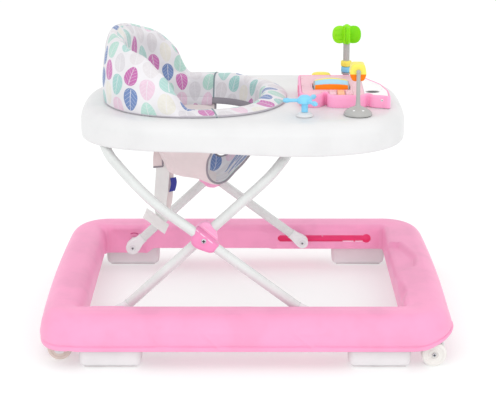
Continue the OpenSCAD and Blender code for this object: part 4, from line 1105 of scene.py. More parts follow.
def tray():
    n = 288
    rows = []
    O = lambda i: polar(tray_outline(i, 720), TC, n)
    Hh = polar(seat_hole(0), TC, n)
    def ring_(P, z):
        return np.concatenate([P, np.full((n, 1), float(z))], 1)
    # underside of the top, inner wall, rim, outer wall, roll, top face, back to the hole
    for i, z in [(14, 392.8), (9.5, 388), (6.2, 381), (4.6, 372), (3.9, 360), (3.8, 352), (3.6, 348.4), (2.6, 347.1), (1.4, 347.1), (0.5, 348.2), (0.2, 350.5)]:
        rows.append(ring_(O(i), z))
    for i, z in [(0.0, 356), (0.0, 362), (0.1, 368), (0.4, 373)]:
        rows.append(ring_(O(i), z))
    for a in np.linspace(6, 84, 12):
        rows.append(ring_(O(24 - 23.6 * math.cos(math.radians(a))), 375 + 24.0 * math.sin(math.radians(a))))
    for f, z in [(0.0, 399.3), (0.15, 399.7), (0.4, 400.0), (0.7, 400.0), (0.93, 400.0), (0.985, 399.9), (1.0, 399.2)]:
        a = O(26); rows.append(ring_(a + (Hh - a) * f, z))
    rows.append(ring_(Hh, 397.2))
    a = O(26)
    for f in (0.95, 0.6, 0.2):
        rows.append(ring_(a + (Hh - a) * f, 396.8))
    rows.append(ring_(O(20), 396.2))
    rows = [np.concatenate([r_[:, :2], r_[:, 2:3] + (np.interp(r_[:, 0], [-290, -185, -80, 0, 60, 110, 283], [0, 2.6, 4.6, 1.0, -1.6, -2.4, -0.6]) * (1 - sm(349, 372, r_[:, 2])))[:, None]], 1) for r_ in rows]
    ob = loft("tray_top", rows, M["white"], wrap_rows=True, cap=False, autosmooth=60)
    cut = []
    for x, y, q in [(181, 80, 12), (188, -141, 12), (98, -152, 8.5)]:
        for s in (-1, 1):
            cut.append(lathe("c", [(0, 380), (1.7, 380), (1.7, 410), (0, 410)], (x, y + s * q, 0), "z", M["white"], 20, closed=False))
    cut.append(prism("c", [(118, 6), (173, 6), (173, 40), (118, 40)], 380, 410, "z", M["white"]))
    boolean(ob, cut)
    for p in ob.data.polygons:
        p.use_smooth = True
    sharpen(ob, 45)
    return ob
put(tray(), "tray", "white_plastic", "tray_shell")
# ribs under the tray
ribs = []
for x in (95, 150, 205, 245):
    yo = 160 if x < 200 else 110
    ribs.append(prism("r", [(-yo, 396.9), (-yo + 6, 385), (-30, 389), (30, 389), (yo - 6, 385), (yo, 396.9)], x - 1, x + 1, "x", M["white"]) if x not in (150,) else
                prism("r", [(yo, 396.9), (yo - 6, 385), (yo - 30, 389), (50, 392), (50, 396.9)], x - 1, x + 1, "x", M["white"]))
put(join("tray_ribs", ribs), "tray", "white_plastic")

# ------------------------------------------------------------------ seat
SCN = np.array([-90.0, 0.0])
def outline_r(theta, cx, a, b, e=0.9):
    t = 2 * pi * (np.arange(2000) + 0.5) / 2000
    c, s = np.cos(t), np.sin(t)
    x = cx + a * np.sign(c) * np.abs(c) ** e - SCN[0]; y = b * np.sign(s) * np.abs(s) ** e
    an = np.arctan2(y, x); r = np.hypot(x, y)
    o = np.argsort(an)
    return np.interp(theta, an[o], r[o], period=2 * pi)
R_OUT = lambda th: outline_r(th, -89.5, 160.5, 168.0)
# height of the rim along its length: the far side stands a little higher than the near one
FARX = np.array([-93, -104, -113.9, -124.8, -135.7, -146.4, -156.7, -166.9, -176.5, -185.6, -194.1, -201.7, -208.6, -214.6, -219.7, -232], float)
FARZ = np.array([415, 427, 439, 453, 467, 479, 489.5, 496, 500.5, 504.5, 508.5, 512, 515, 517.5, 520, 526], float)
NEARX = np.array([-86, -101.5, -112, -122.7, -133, -143.5, -153.5, -163, -172, -181, -189, -196.6, -203, -209, -214, -222, -232], float)
NEARZ = np.array([414, 428, 440, 450.5, 461, 471, 481, 489.5, 496, 500.5, 503, 505.5, 508, 510.5, 512.5, 516.5, 522], float)
NP = 44
def seat_profile(th):
    ro = float(R_OUT(th))
    c = math.cos(th)
    # height of the rim here, found where the rolled edge would stand
    x = SCN[0] + (ro - 17) * c
    s_ = math.sin(th)
    fs = float(sm(-0.3, 0.4, s_))
    top = fs * float(np.interp(-x, -FARX, FARZ)) + (1 - fs) * float(np.interp(-x, -NEARX, NEARZ))
    Hh = top - 400.0
    w = float(sm(18, 62, Hh))
    lean = 0.055 * Hh
    Bp = np.array([(5, 400.9), (0.6, 401.2), (-1.2, 405), (-2.6, 400 + 0.28 * Hh), (-1.6 + 0.3 * lean, 400 + 0.58 * Hh), (1.5 + 0.8 * lean, top - 17), (6.5 + lean, top - 5), (14 + lean, top), (21.5 + lean, top - 5), (27 + lean, top - 18), (30 + 0.7 * lean, 400 + 0.56 * Hh), (36 + 0.2 * lean, 400 + 0.28 * Hh), (42.5, 413), (46.5, 393), (48.5, 372)])
    Cp = np.array([(5, 400.9), (0.8, 401.1), (-0.4, 404), (4, 407.6), (11, 410.6), (19, 413.4), (26, 415.2), (31, 415.6), (36, 414.6), (40, 412), (43, 408), (44.6, 402), (45.6, 394), (46.6, 384), (48.5, 372)])
    kc = 1.0 - 0.52 * float(sm(0.2, 0.75, -s_))
    Cp[:, 1] = np.where(Cp[:, 1] > 400, 400 + (Cp[:, 1] - 400) * kc, Cp[:, 1])
    P = Bp * w + Cp * (1 - w)
    Q = cr(P, NP)
    under = np.array([(45.6, 370.6), (42.6, 372.6), (41.6, 384), (39.6, 395), (36, 401.4), (30, 403.4), (22, 403.9), (14, 403.9), (9, 403.6), (6.4, 402.4)])
    return np.concatenate([Q, under]), ro, Q

def seat_pad():
    rows = []
    n = 200
    for k in range(n):
        th = 2 * pi * k / n
        Q, ro, _ = seat_profile(th)
        r = ro - Q[:, 0]
        rows.append(np.stack([SCN[0] + r * math.cos(th), SCN[1] + r * math.sin(th), Q[:, 1]], 1))
    return loft("seat_pad", rows, M["print"], wrap_rows=True, cap=False)

TH = np.linspace(-pi, pi, 361)
PROFS = [seat_profile(t) for t in TH]
ARC = np.concatenate([[0], np.cumsum(np.linalg.norm(np.diff(np.stack([SCN[0] + (R_OUT(TH) - 12) * np.cos(TH), (R_OUT(TH) - 12) * np.sin(TH)], 1), axis=0), axis=1))])
def seat_map(P, N):
    d = P[:, :2] - SCN
    th = np.arctan2(d[:, 1], d[:, 0])
    r = np.hypot(d[:, 0], d[:, 1])
    u = np.interp(th, TH, ARC)
    ii = np.clip(np.round((th + pi) / (2 * pi) * 360).astype(int), 0, 360)
    v = np.zeros(len(P))
    for i in np.unique(ii):
        m = ii == i
        Q, ro, Qs = PROFS[i]
        a, b = Qs[:-1], Qs[1:]
        L = np.linalg.norm(b - a, axis=1); cum = np.concatenate([[0], np.cumsum(L)])[:-1]
        p = np.stack([ro - r[m], P[m, 2]], 1)
        ab = b - a
        t = np.clip(((p[:, None, :] - a) * ab).sum(2) / np.maximum(L ** 2, 1e-6), 0, 1)
        dd = np.linalg.norm(p[:, None, :] - a - t[..., None] * ab, axis=2)
        j = dd.argmin(1)
        ci = int(Qs[:, 1].argmax()) + (2 if Qs[:, 1].max() > 424 else 0)
        pj = a[j] + t[np.arange(len(j)), j][:, None] * ab[j]
        v[m] = np.where(j < ci, pj[:, 1], 831.2 - pj[:, 1]) + 0.85 * pj[:, 0]
    return u + 9.0, v - 404.0, float(ARC[-1])

pad = seat_pad()
apply_mods(pad)
puff(pad, 0, 3.0, 3.6, 16, pin=lambda P: np.clip(1 - sm(371, 380, P[:, 2]) + (1 - sm(401.4, 404.6, P[:, 2])) * sm(-400, -399, P[:, 2]), 0, 1))
# shallow creases where the cloth turns
me = pad.data
co = np.array([v.co for v in me.vertices]) / MM
no = np.array([v.normal for v in me.vertices])
am = 0.9 * vnoise(co * np.array([1, 1, 0.45]), 30, 3) + 0.5 * vnoise(co * np.array([1, 1, 1.4]), 13, 5)
wz = sm(403, 412, co[:, 2])
co2 = co + no * (am * wz)[:, None]
me.vertices.foreach_set("co", (co2 * MM).astype(np.float32).ravel()); me.update()
sub = pad.modifiers.new("s", "SUBSURF"); sub.levels = 1; sub.render_levels = 1
apply_mods(pad)
for p in pad.data.polygons:
    p.use_smooth = True
set_pat(pad, seat_map)
put(pad, "tray", "print_fabric", "seat_collar", "backrest_pad")

# grey binding along the seat's lower outer edge
def ring_path(d, z, th0=-pi, th1=pi, n=260, closed=True):
    t = np.linspace(th0, th1, n, endpoint=not closed)
    r = R_OUT(t) - d
    return np.stack([SCN[0] + r * np.cos(t), r * np.sin(t), np.full(n, float(z))], 1)
bind = sweep("seat_binding", ring_path(0.9, 402.2), 1.9, M["trim"], 12, closed=True)
box_pat(bind)
put(bind, "tray", "print_fabric")

# inner panels under the collar: grey band and the lining down to the sling
def strip(name, d0, z0, d1, z1, th0, th1, mat, n=160, t=1.4, bulge=0.0):
    rows = []
    for th in np.linspace(th0, th1, n):
        ro = float(R_OUT(th)); c, s = math.cos(th), math.sin(th)
        pts = []
        for f in np.linspace(0, 1, 7):
            pts.append((d0 + (d1 - d0) * f + bulge * math.sin(pi * f), z0 + (z1 - z0) * f))
        for f in np.linspace(1, 0, 7):
            pts.append((d0 + (d1 - d0) * f + bulge * math.sin(pi * f) - t, z0 + (z1 - z0) * f))
        rows.append([(SCN[0] + (ro - q) * c, (ro - q) * s, z) for q, z in pts])
    closed = abs(th1 - th0 - 2 * pi) < 1e-6
    if closed:
        rows = rows[:-1]
    o = loft(name, rows, mat, wrap_rows=closed, cap=not closed, autosmooth=50)
    return set_pat(o, lambda P, N: (np.interp(np.arctan2(P[:, 1], P[:, 0] - SCN[0]), TH, ARC), P[:, 2], float(ARC[-1])))
board = strip("backrest_stiffener", 15.5, 430.5, 17.5, 488, math.radians(128), math.radians(232), M["white"], 61, 2.6, 0)
put(board, "tray", "white_plastic", "backrest_board")
band = strip("inner_band", 48.2, 373.0, 50.4, 361.5, -math.radians(77), math.radians(77), M["binding"], 121, 1.6, 1.0)
put(band, "tray", "print_fabric")
inner_rest = strip("inner_rear_band", 48.2, 373.2, 50.8, 359.0, math.radians(77.2), math.radians(360 - 77.2), M["print"], 161, 1.6, 1.0)
set_pat(inner_rest, lambda P, N: (np.interp(np.arctan2(P[:, 1], P[:, 0] - SCN[0]), TH, ARC) + 9.0, 831.2 - P[:, 2] + 41.0 - 404.0, float(ARC[-1])))
put(inner_rest, "tray", "print_fabric")

def binding_line(name, th, mat, r=1.7):
    """A bound edge that runs over the collar at one angle, from the outside round to the band."""
    Q, ro, Qs = seat_profile(th)
    c, s = math.cos(th), math.sin(th)
    path = []
    for q, z in Qs[2:]:
        path.append((SCN[0] + (ro - q) * c, (ro - q) * s, z))
    path = np.array(path)
    o = sweep(name, path, r, mat, 10, ref=(0, 0, 1))
    return box_pat(o)
joins = []
for th in (math.radians(76), math.radians(-76)):
    o = binding_line("bind", th, M["binding_dark"], 1.35)
    joins.append(o)
seam = join("seat_side_bindings", joins)
put(seam, "tray", "print_fabric")

# ------------------------------------------------------------------ hanging sling
SROWS = np.array([[402, -85, 129, 139], [384, -85, 129, 138], [345, -72, 101, 110], [312, -71.2, 80.8, 90], [300, -74.2, 73.8, 83], [288, -78.8, 64.2, 76], [276, -83.8, 56.2, 68], [270, -84.5, 51.5, 60], [266, -84, 44, 54], [263, -82, 34, 42], [262, -80, 20, 28]], float)
SE = lambda z: 0.28 + 0.72 * float(sm(325, 384, z))
def sag(x, z):
    """The bottom of the sling hangs lowest under its front part."""
    x = np.asarray(x, float)
    return (-13.0 * sm(-96, -52, x) + 5.0 * (1 - sm(-135, -90, x))) * (1 - sm(264, 312, z))
def sling_surface(z_t, th):
    """Returns the row parameter z_t (0..6) unchanged; the angle th is not used."""
    return z_t
SR = cr(SROWS, 60)
def sling():
    nu = 160
    def ringrow(q, g, i):
        t = 2 * pi * np.arange(nu) / nu
        fold = 1.0 + 0.012 * np.sin(9 * t + 0.8 * i / 8.0) * (i / 60.0) + 0.008 * np.sin(17 * t + 1.3)
        e = SE(q[0])
        c, s_ = np.cos(t), np.sin(t)
        x = q[1] + (q[2] - g) * np.sign(c) * np.abs(c) ** e * fold
        y = (q[3] - g) * np.sign(s_) * np.abs(s_) ** e * fold
        return np.stack([x, y, q[0] + sag(x, q[0])], 1)
    outer = [ringrow(q, 0, i) for i, q in enumerate(SR)]
    # rounded bottom
    last = SR[-1]
    outer.append(np.stack([outer[-1][:, 0] * 0.5 + last[1] * 0.5, outer[-1][:, 1] * 0.5, outer[-1][:, 2] - 0.5], 1))
    inner = [ringrow(q, 2.0, i) + np.array([0, 0, 1.6 * (1 - sm(258, 275, q[0]))]) for i, q in enumerate(SR)]
    inner.append(np.stack([inner[-1][:, 0] * 0.5 + last[1] * 0.5, inner[-1][:, 1] * 0.5, inner[-1][:, 2] + 0.3], 1))
    rows = outer + inner[::-1]
    # close: top rings joined, bottoms capped separately
    V = np.concatenate(rows); F = []
    R = len(rows); m = len(outer)
    for i in range(R - 1):
        if i == m - 1:
            continue
        for k in range(nu):
            l = (k + 1) % nu
            F.append((i * nu + k, i * nu + l, (i + 1) * nu + l, (i + 1) * nu + k))
    for k in range(nu):
        l = (k + 1) % nu
        F.append((k, (R - 1) * nu + k, (R - 1) * nu + l, l))
    F.append(tuple(range((m - 1) * nu, m * nu))); F.append(tuple(range(m * nu + nu - 1, m * nu - 1, -1)))
    ob = add("sling", V, F, M["lining"])
    return ob
LEG = cr(np.array([(-60, 378), (-59, 348), (-60.5, 322), (-67, 304.5), (-68.5, 281), (-62.3, 264.5), (-49.5, 256.6), (-35, 262.0), (-25.8, 272), (-17.8, 282.2), (-8, 292), (1.6, 306), (9.8, 317.5), (24, 342), (34, 378)], float), 80)
FX, FZ = 2.0, 15.6        # the far leg opening sits a little higher
def leg_holes(ob):
    cut = []
    for s in (-1, 1):
        cut.append(prism("c", [(p[0] + (FX if s > 0 else 0), p[1] + (FZ if s > 0 else 0) * (1 - sm(340, 372, p[1]))) for p in LEG], min(s * 30, s * 180), max(s * 30, s * 180), "y", M["lining"]))
    boolean(ob, cut)
    for p in ob.data.polygons:
        p.use_smooth = True
    sharpen(ob, 60)
sl = sling()
leg_holes(sl)
# inside faces carry the print low down, the outside is plain lining
sl.data.materials.append(M["print"])
def sling_uv(P, N):
    th = np.arctan2(P[:, 1], P[:, 0] + 75)
    return th * 95.0, P[:, 2] * 1.05 + np.abs(P[:, 1]) * 0.25, 2 * pi * 95.0
set_pat(sl, sling_uv)
for p in sl.data.polygons:
    c = p.center / MM
    q = [np.interp(-c.z, -SR[:, 0], SR[:, k]) for k in (1, 2, 3)]
    ins = (c.x - q[0]) * p.normal.x + c.y * p.normal.y < 0
    if ins and c.z < 338:
        p.material_index = 1
put(sl, "tray", "lining_fabric", "seat_sling")
def on_sling(x, z, s, out=0.0):
    zr = z
    for _ in range(8):
        zr = z - float(sag(x, zr))
    cx, a, b = [np.interp(-zr, -SR[:, 0], SR[:, k]) for k in (1, 2, 3)]
    e = SE(zr)
    q = min(0.9995, abs((x - cx) / a))
    y = b * (1 - q ** (2 / e)) ** (e / 2)
    n = unit([math.copysign(q ** (2 / e - 1) / a, x - cx), (y / b) ** (2 / e - 1) / b + 1e-5, 0.0])
    return np.array([x + n[0] * out, s * (y + n[1] * out), z])
b = []
for s in (-1, 1):
    path = [on_sling(x + (FX if s > 0 else 0), z + (FZ if s > 0 else 0) * float(1 - sm(340, 372, z)), s, -0.8) for x, z in LEG]
    path = [p for p in path]
    b.append(sweep("b", path, 1.9, M["binding"], 12, ref=(0, 0, 1)))
bd = join("leg_hole_bindings", b)
box_pat(bd)
put(bd, "tray", "print_fabric")

# a bound flap that hangs at the back of the sling
def ribbon(name, path, across, width, t, mat, prof=None):
    """A thin strip: path points are its middle line, across the side direction(s), width in mm."""
    P = np.asarray(path, float); n = len(P)
    A = np.asarray(across, float)
    if A.ndim == 1:
        A = np.tile(A, (n, 1))
    W = np.full(n, width, float) if np.isscalar(width) else np.asarray(width, float)
    T = np.gradient(P, axis=0)
    rows = []
    m = 9
    for i in range(n):
        a = unit(A[i]); nn = unit(np.cross(T[i], a))
        f = np.linspace(-0.5, 0.5, m)
        cup = (prof(i / (n - 1), f) if prof else 0 * f)
        mid_ = P[i] + np.outer(f * W[i], a) + np.outer(cup, nn)
        rows.append(np.concatenate([mid_ + nn * t / 2, (mid_ - nn * t / 2)[::-1]]))
    o = loft(name, rows, mat, cap=True, autosmooth=60)
    return o
flap = []
zz = np.linspace(338, 284, 12)
for s in (1,):
    pth = [(-155 + 1.2 * math.sin(i * 0.5), -47 + i * 0.2, z) for i, z in enumerate(zz)]
    flap.append(ribbon("f", pth, (1, 0.35, 0), 17, 1.6, M["lining"]))
    e1 = [(p[0] + 8.4, p[1] + 3.0, p[2]) for p in pth]
    flap.append(sweep("f", e1, 1.9, M["binding"], 10))
    e2 = [(pth[-1][0] + q, pth[-1][1] + 0.35 * q, pth[-1][2] - 0.4) for q in np.linspace(-8, 8.4, 6)]
    flap.append(sweep("f", e2, 1.9, M["binding"], 10))
fl = join("rear_flap", flap)
box_pat(fl)
put(fl, "tray", "lining_fabric")

# ------------------------------------------------------------------ hanging fabric tag, left blank
def tags():
    P1 = cr(np.array([(-147, -24, 312), (-148, -24, 292), (-149, -24, 268), (-151, -23, 244), (-153, -22, 222), (-154, -21, 204), (-153, -21, 188), (-150, -20, 176)], float), 54)
    f = np.linspace(0, 1, 54)[:, None]
    A1 = np.stack([np.ones(54), -0.25 * np.ones(54), 0.22 * sm(0.5, 0.9, f[:, 0])], 1)
    a = ribbon("t", P1, A1, np.interp(f[:, 0], [0, 0.5, 0.8, 1], [25, 25, 21, 18]), 0.7, M["tagcloth"], lambda t, q: 1.6 * np.cos(q * pi) * math.sin(t * 7))
    PE = cr(np.array([(-182, -27, 193), (-172, -25.5, 185.5), (-162, -24.5, 176.5), (-152, -23.5, 168), (-143, -23, 161)], float), 30)
    AE = np.tile([0.40, -0.10, 0.9], (30, 1))
    e = ribbon("t", PE, AE, 20.5, 0.7, M["tagcloth"], lambda t, q: 1.5 * np.cos(q * pi) * math.cos(t * 5))
    P2 = cr(np.array([(-138, -18, 310), (-137, -17, 290), (-137, -16, 268), (-138, -16, 246), (-139, -16, 226), (-141, -16, 210), (-144, -17, 199)], float), 44)
    A2 = np.stack([np.ones(44), 0.25 * np.ones(44), -0.10 * np.ones(44)], 1)
    b = ribbon("t", P2, A2, 15, 0.7, M["lining"], lambda t, q: 1.4 * np.cos(q * pi) * math.sin(t * 5 + 1))
    P3 = cr(np.array([(-131, -17.5, 256), (-129.5, -18.5, 248), (-130.5, -18.8, 240), (-133, -18.6, 231)], float), 16)
    c = ribbon("t", P3, (1, 0.3, 0.15), 11, 0.7, M["tabcloth"])
    for o in (a, b, c, e):
        box_pat(o)
    return join("care_tag_strips", [a, b, c, e])
tg = tags()
put(tg, "tray", "tag_fabric", "care_tag")
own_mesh(tg)

# ------------------------------------------------------------------ toy console
TZ = 400.3
def offset_poly(P, d):
    """Move a closed counter-clockwise outline inward by d."""
    P = np.asarray(P, float)
    a = np.roll(P, 1, 0); b = np.roll(P, -1, 0)
    t1 = P - a; t2 = b - P
    t1 /= np.maximum(np.linalg.norm(t1, axis=1), 1e-9)[:, None]; t2 /= np.maximum(np.linalg.norm(t2, axis=1), 1e-9)[:, None]
    n1 = np.stack([-t1[:, 1], t1[:, 0]], 1); n2 = np.stack([-t2[:, 1], t2[:, 0]], 1)
    n = n1 + n2
    n /= np.maximum(np.linalg.norm(n, axis=1), 1e-9)[:, None]
    c = np.clip((n * n1).sum(1), 0.45, 1)
    return P + n * (d / c)[:, None]

_out = arc(98, 40, 6, 6, 90, 180, 6) + [(92, 0), (92, -40)] + arc(113, -68, 21, 21, 180, 345, 22) + [(135.4, -67.0), (137.0, -65.5), (138.6, -67.0)]
_out += arc(152, -77, 13.4, 13.6, 170, 270, 10) + [(172, -91)] + arc(194, -77, 13, 13.6, 270, 345, 9) + [(208.4, -77.5), (209.6, -76.0), (211.0, -78.5)]
_out += [(213.5, -84.5), (218, -88.6), (226, -90.2), (235, -91.8), (242, -95.2), (247.5, -97.2), (250.3, -94), (251, -88), (251, -58), (240, -18), (216, 22), (206, 38)] + arc(194, 40, 6, 6, 30, 90, 4)
CON = smooth_poly(dense(_out, 2.0), 3)

def tilt(ob):
    """The console's top slopes down a little towards the seat's right side."""
    for v in ob.data.vertices:
        z = v.co.z / MM; y = v.co.y / MM
        v.co.x -= MM * 3.4 * float(sm(228, 252, v.co.x / MM))
        if z > TZ + 8:
            k = min(1.0, (z - TZ - 8) / 8.0)
            v.co.z += MM * k * float(np.interp(y, [-92, -36, 48], [-3.4, 0.0, 5.2]))
    ob.data.update()
    return ob

def console():
    rows = []
    for ins, z in [(0.3, TZ), (0, TZ + 1), (0, TZ + 8), (0, TZ + 16), (0.1, TZ + 20.5), (0.5, TZ + 22.6), (1.3, TZ + 24.2), (2.4, TZ + 24.9), (3.6, TZ + 24.6), (4.2, TZ + 23.0), (4.2, TZ + 18), (3.4, TZ)]:
        P = offset_poly(CON, ins)
        rows.append(np.concatenate([P, np.full((len(P), 1), z)], 1))
    b = loft("c", rows, M["console"], wrap_rows=True, cap=False, autosmooth=60)
    # foot of the yellow button and the web to it
    ft = []
    for r, z in ((22, TZ), (22, TZ + 4.2), (21.5, TZ + 6.2), (20.9, TZ + 7), (19.9, TZ + 7), (19.7, TZ + 5.2), (7.2, TZ + 5.2)):
        ft.append([(136 + r * math.cos(a), 84 + r * 0.775 * math.sin(a), z) for a in np.linspace(0, 2 * pi, 48, endpoint=False)])
    f = loft("c", ft, M["console"], autosmooth=40)
    w = prism("c", [(126, 43.6), (146, 43.6), (146, 73.6), (126, 73.6)], TZ, TZ + 5, "z", M["console"]); bevel(w, 0.8)
    # two thin deep pink strips on the console's left side, glowing with the material's painted light
    e1 = prism("c", [(-52, 404.5), (-34, 404.5), (-34, 413.5), (-52, 413.5)], 90.8, 92.6, "x", M["deep"])
    e2 = prism("c", [(-8, 409), (2, 409), (2, 421), (-8, 421)], 90.8, 92.6, "x", M["deep"])
    bevel(e1, 0.4); bevel(e2, 0.4)
    o = join("console_shell", [tilt(b), f, w, e1, e2])
    put(o, "tray", "pink_plastic", "console_base")
    # top: pale pink plate left of X 203, white panel right of it
    def plate(name, x0, x1, z0, z1, mat, crown=0.0):
        P = offset_poly(CON, 4.4)
        bits = []
        rows = []
        for ins, z in [(4.4, z0), (4.4, z1 - 0.8), (4.7, z1 - 0.25), (5.4, z1)]:
            Q = offset_poly(CON, ins); rows.append(np.concatenate([Q, np.full((len(Q), 1), z)], 1))
        o = loft(name, rows, mat, cap=True, autosmooth=50)
        c1 = prism("k", [(60, -130), (x0, -130), (x0, 90), (60, 90)], z0 - 5, z1 + 5, "z", mat)
        c2 = prism("k", [(x1, -130), (300, -130), (300, 90), (x1, 90)], z0 - 5, z1 + 5, "z", mat)
        cc = []
        if x0 > 62: cc.append(c1)
        else: bpy.data.objects.remove(c1)
        if x1 < 290: cc.append(c2)
        else: bpy.data.objects.remove(c2)
        return boolean(o, cc)
    top = plate("console_top_plate", 60, 203.0, TZ + 20, TZ + 24.8, M["palepink"])
    cut = []
    def rrect(x0, x1, y0, y1, r, n=5):
        return arc(x1 - r, y1 - r, r, r, 0, 90, n) + arc(x0 + r, y1 - r, r, r, 90, 180, n) + arc(x0 + r, y0 + r, r, r, 180, 270, n) + arc(x1 - r, y0 + r, r, r, 270, 360, n)
    cut.append(prism("k", rrect(115.6, 180.4, -59.4, -15, 3), 410, 440, "z", M["dark"]))
    for x in (142.8, 156.9, 171):
        cut.append(prism("k", rrect(x - 0.4, x + 13.0, -85.4, -60.6, 2), 410, 440, "z", M["dark"]))
    boolean(top, cut)
    sharpen(top, 40); bevel(top, 0.35, 2, 50); apply_mods(top)
    # raised frame round the roller window
    fr = []
    for (g, z) in ((0.0, 424.6), (0.0, 426.2), (0.8, 426.9), (2.4, 426.9), (3.2, 426.2), (3.2, 424.6)):
        P = rrect(115.6 - g, 180.4 + g, -59.4 - g * 0.25, -15 + g, 3 + g * 0.25, 6)
        fr.append([(p[0], p[1], z) for p in P])
    fr = loft("k", fr, M["palepink"], wrap_rows=True, cap=False, autosmooth=50)
    sq = prism("k", rrect(166.5, 174.5, -6, 6, 1.2), 424.8, 426.3, "z", M["panel"]); bevel(sq, 0.4)
    dots = []
    for x, y in ((98.5, 20), (98.5, -30), (150, 38)):
        dots.append(screw_head((x, y, 425.0), 1.8, 0.9, "z", 1, M["palepink"], 0.6))
    o = tilt(join("console_deck", [top, fr, sq] + dots))
    put(o, "tray", "pale_pink_plastic", "console_top")
    pan = plate("console_white_panel", 203.4, 300, TZ + 20, TZ + 24.6, M["panel"])
    boolean(pan, [prism("k", arc(218, -66, 12.4, 8.4, 0, 352.5, 47), 410, 440, "z", M["dark"])])
    sharpen(pan, 40); bevel(pan, 0.35, 2, 50); apply_mods(pan)
    rim = sweep("k", [(218 + 13.1 * math.cos(a), -66 + 9.1 * math.sin(a), 424.9) for a in np.linspace(0, 2 * pi, 60, endpoint=False)], 0.8, M["panel"], 10, closed=True)
    o = tilt(join("console_side_panel", [pan, rim]))
    put(o, "tray", "white_plastic", "console_panel")
    # speaker grille with rows of real holes
    g = prism("g", arc(218, -66, 12.2, 8.2, 0, 352.5, 47), TZ + 21, TZ + 23.6, "z", M["dark"])
    cut = []
    for r in range(-3, 4):
        for c in range(-4, 5):
            x, y = c * 2.5 + (1.25 if r % 2 else 0), r * 2.1
            if (x / 10.6) ** 2 + (y / 6.8) ** 2 < 1:
                cut.append((218 + x, -66 + y))
    holes = join("k", [lathe("k", [(0, 415), (0.72, 415), (0.72, 430), (0, 430)], (x, y, 0), "z", M["dark"], 10, closed=False) for x, y in cut])
    boolean(g, [holes])
    sharpen(g, 40)
    g.name = "speaker_mesh"; tilt(g)
    put(g, "tray", "dark_plastic", "speaker_grille")
    # a screw head on the pink front
    d = [screw_head((232.5, -91.6, TZ + 13.5), 2.2, 1.0, "y", -1, M["panel"], 0.01 + 0.7)]
    put(join("console_front_screw", d), "tray", "white_plastic")
console()

def roller():
    N = 144
    P = [(2.6, 117.2), (13.6, 117.2), (14.8, 118), (15.5, 119.5)]
    for x in np.linspace(121, 175, 19):
        P.append((16.2 + 3.9 * math.sin(pi * (x - 119) / 58), x))
    P += [(15.5, 176.5), (14.8, 178), (13.6, 178.8), (2.6, 178.8)]
    rows = []; fm = []
    secs = []
    # nine coloured sectors parted by fine grooves
    cols = [2, 0, 1, 2, 0, 1, 2, 0, 1]
    for k in range(N):
        t = 360.0 * k / N
        q = (t - 20.0) % 40.0
        gr = 1.0 - 0.045 * math.exp(-(min(q, 40 - q) / 1.6) ** 2)
        secs.append(cols[int(((t - 20.0) % 360) // 40)])
        rows.append([(x, r * (gr if r > 14 else 1) * math.cos(math.radians(t)), r * (gr if r > 14 else 1) * math.sin(math.radians(t))) for r, x in P])
    A = np.array(rows) + np.array([0, -36, 421.0])
    R, C = A.shape[:2]
    F = []; f2 = []
    for i in range(R):
        j = (i + 1) % R
        for k in range(C):
            l = (k + 1) % C
            F.append((i * C + k, i * C + l, j * C + l, j * C + k))
            edge = k < 3 or k >= C - 4
            f2.append(3 if edge else secs[i])
    return add("roller_drum", A.reshape(-1, 3), F, M["orange"], True, [M["yellow"], M["paleblue"], M["orange"], M["grey"]], f2, 50)
ro = roller()
put(ro, "roller", "orange_plastic", "roller_barrel")

def roller_axle():
    b = [lathe("a", [(0, 113), (2.45, 113), (2.45, 183), (0, 183)], (0, -36, 421), "x", M["steel"], 20, closed=False)]
    for x in (112.7, 180.3):
        q = prism("a", [(-41.5, TZ), (-30.5, TZ), (-31.5, 417), (-33, 422.5), (-36, 424.2), (-39, 422.5), (-40.5, 417)], x, x + 3, "x", M["grey"]); bevel(q, 0.4)
        b.append(q)
    return join("roller_axle_set", b)
put(roller_axle(), "tray", "grey_plastic", "roller_axle")

def key(name, x, mat, body, node):
    rows = []
    for ins, z in [(0, 418.4), (0, 425.6), (0.35, 427.0), (1.2, 428.0), (2.4, 428.3)]:
        w, h, r = 12.6 - 2 * ins, 24 - 2 * ins, max(1.4, 3.0 - ins)
        pts = []
        for cx, cy, a in ((w / 2 - r, h / 2 - r, 0), (-w / 2 + r, h / 2 - r, 90), (-w / 2 + r, -h / 2 + r, 180), (w / 2 - r, -h / 2 + r, 270)):
            pts += arc(cx, cy, r, r, a, a + 90, 6)
        rows.append([(x + 6.3 + p[0], -73 + p[1], z - 0.35 * (p[1] / 12) ** 2) for p in pts])
    o = loft("k", rows, mat, autosmooth=40)
    s = prism("k", [(x + 2.3, -78), (x + 10.3, -78), (x + 10.3, -68), (x + 2.3, -68)], TZ + 8, 419, "z", mat)
    dish = sweep("k", [(x + 6.3 + 3.2 * math.cos(a), -73 + 5.5 * math.sin(a), 428.15) for a in np.linspace(0, 2 * pi, 40, endpoint=False)], 0.35, mat, 8, closed=True)
    put(tilt(join(name, [o, s, dish])), body, "pale_pink_plastic" if mat is not M["orange2"] else "orange_plastic", node)
key("piano_key_a", 142.8, M["palepink"], "key_left", "key_left")
key("piano_key_b", 156.9, M["orange2"], "key_middle", "key_middle")
key("piano_key_c", 171.0, M["palepink"], "key_right", "key_right")

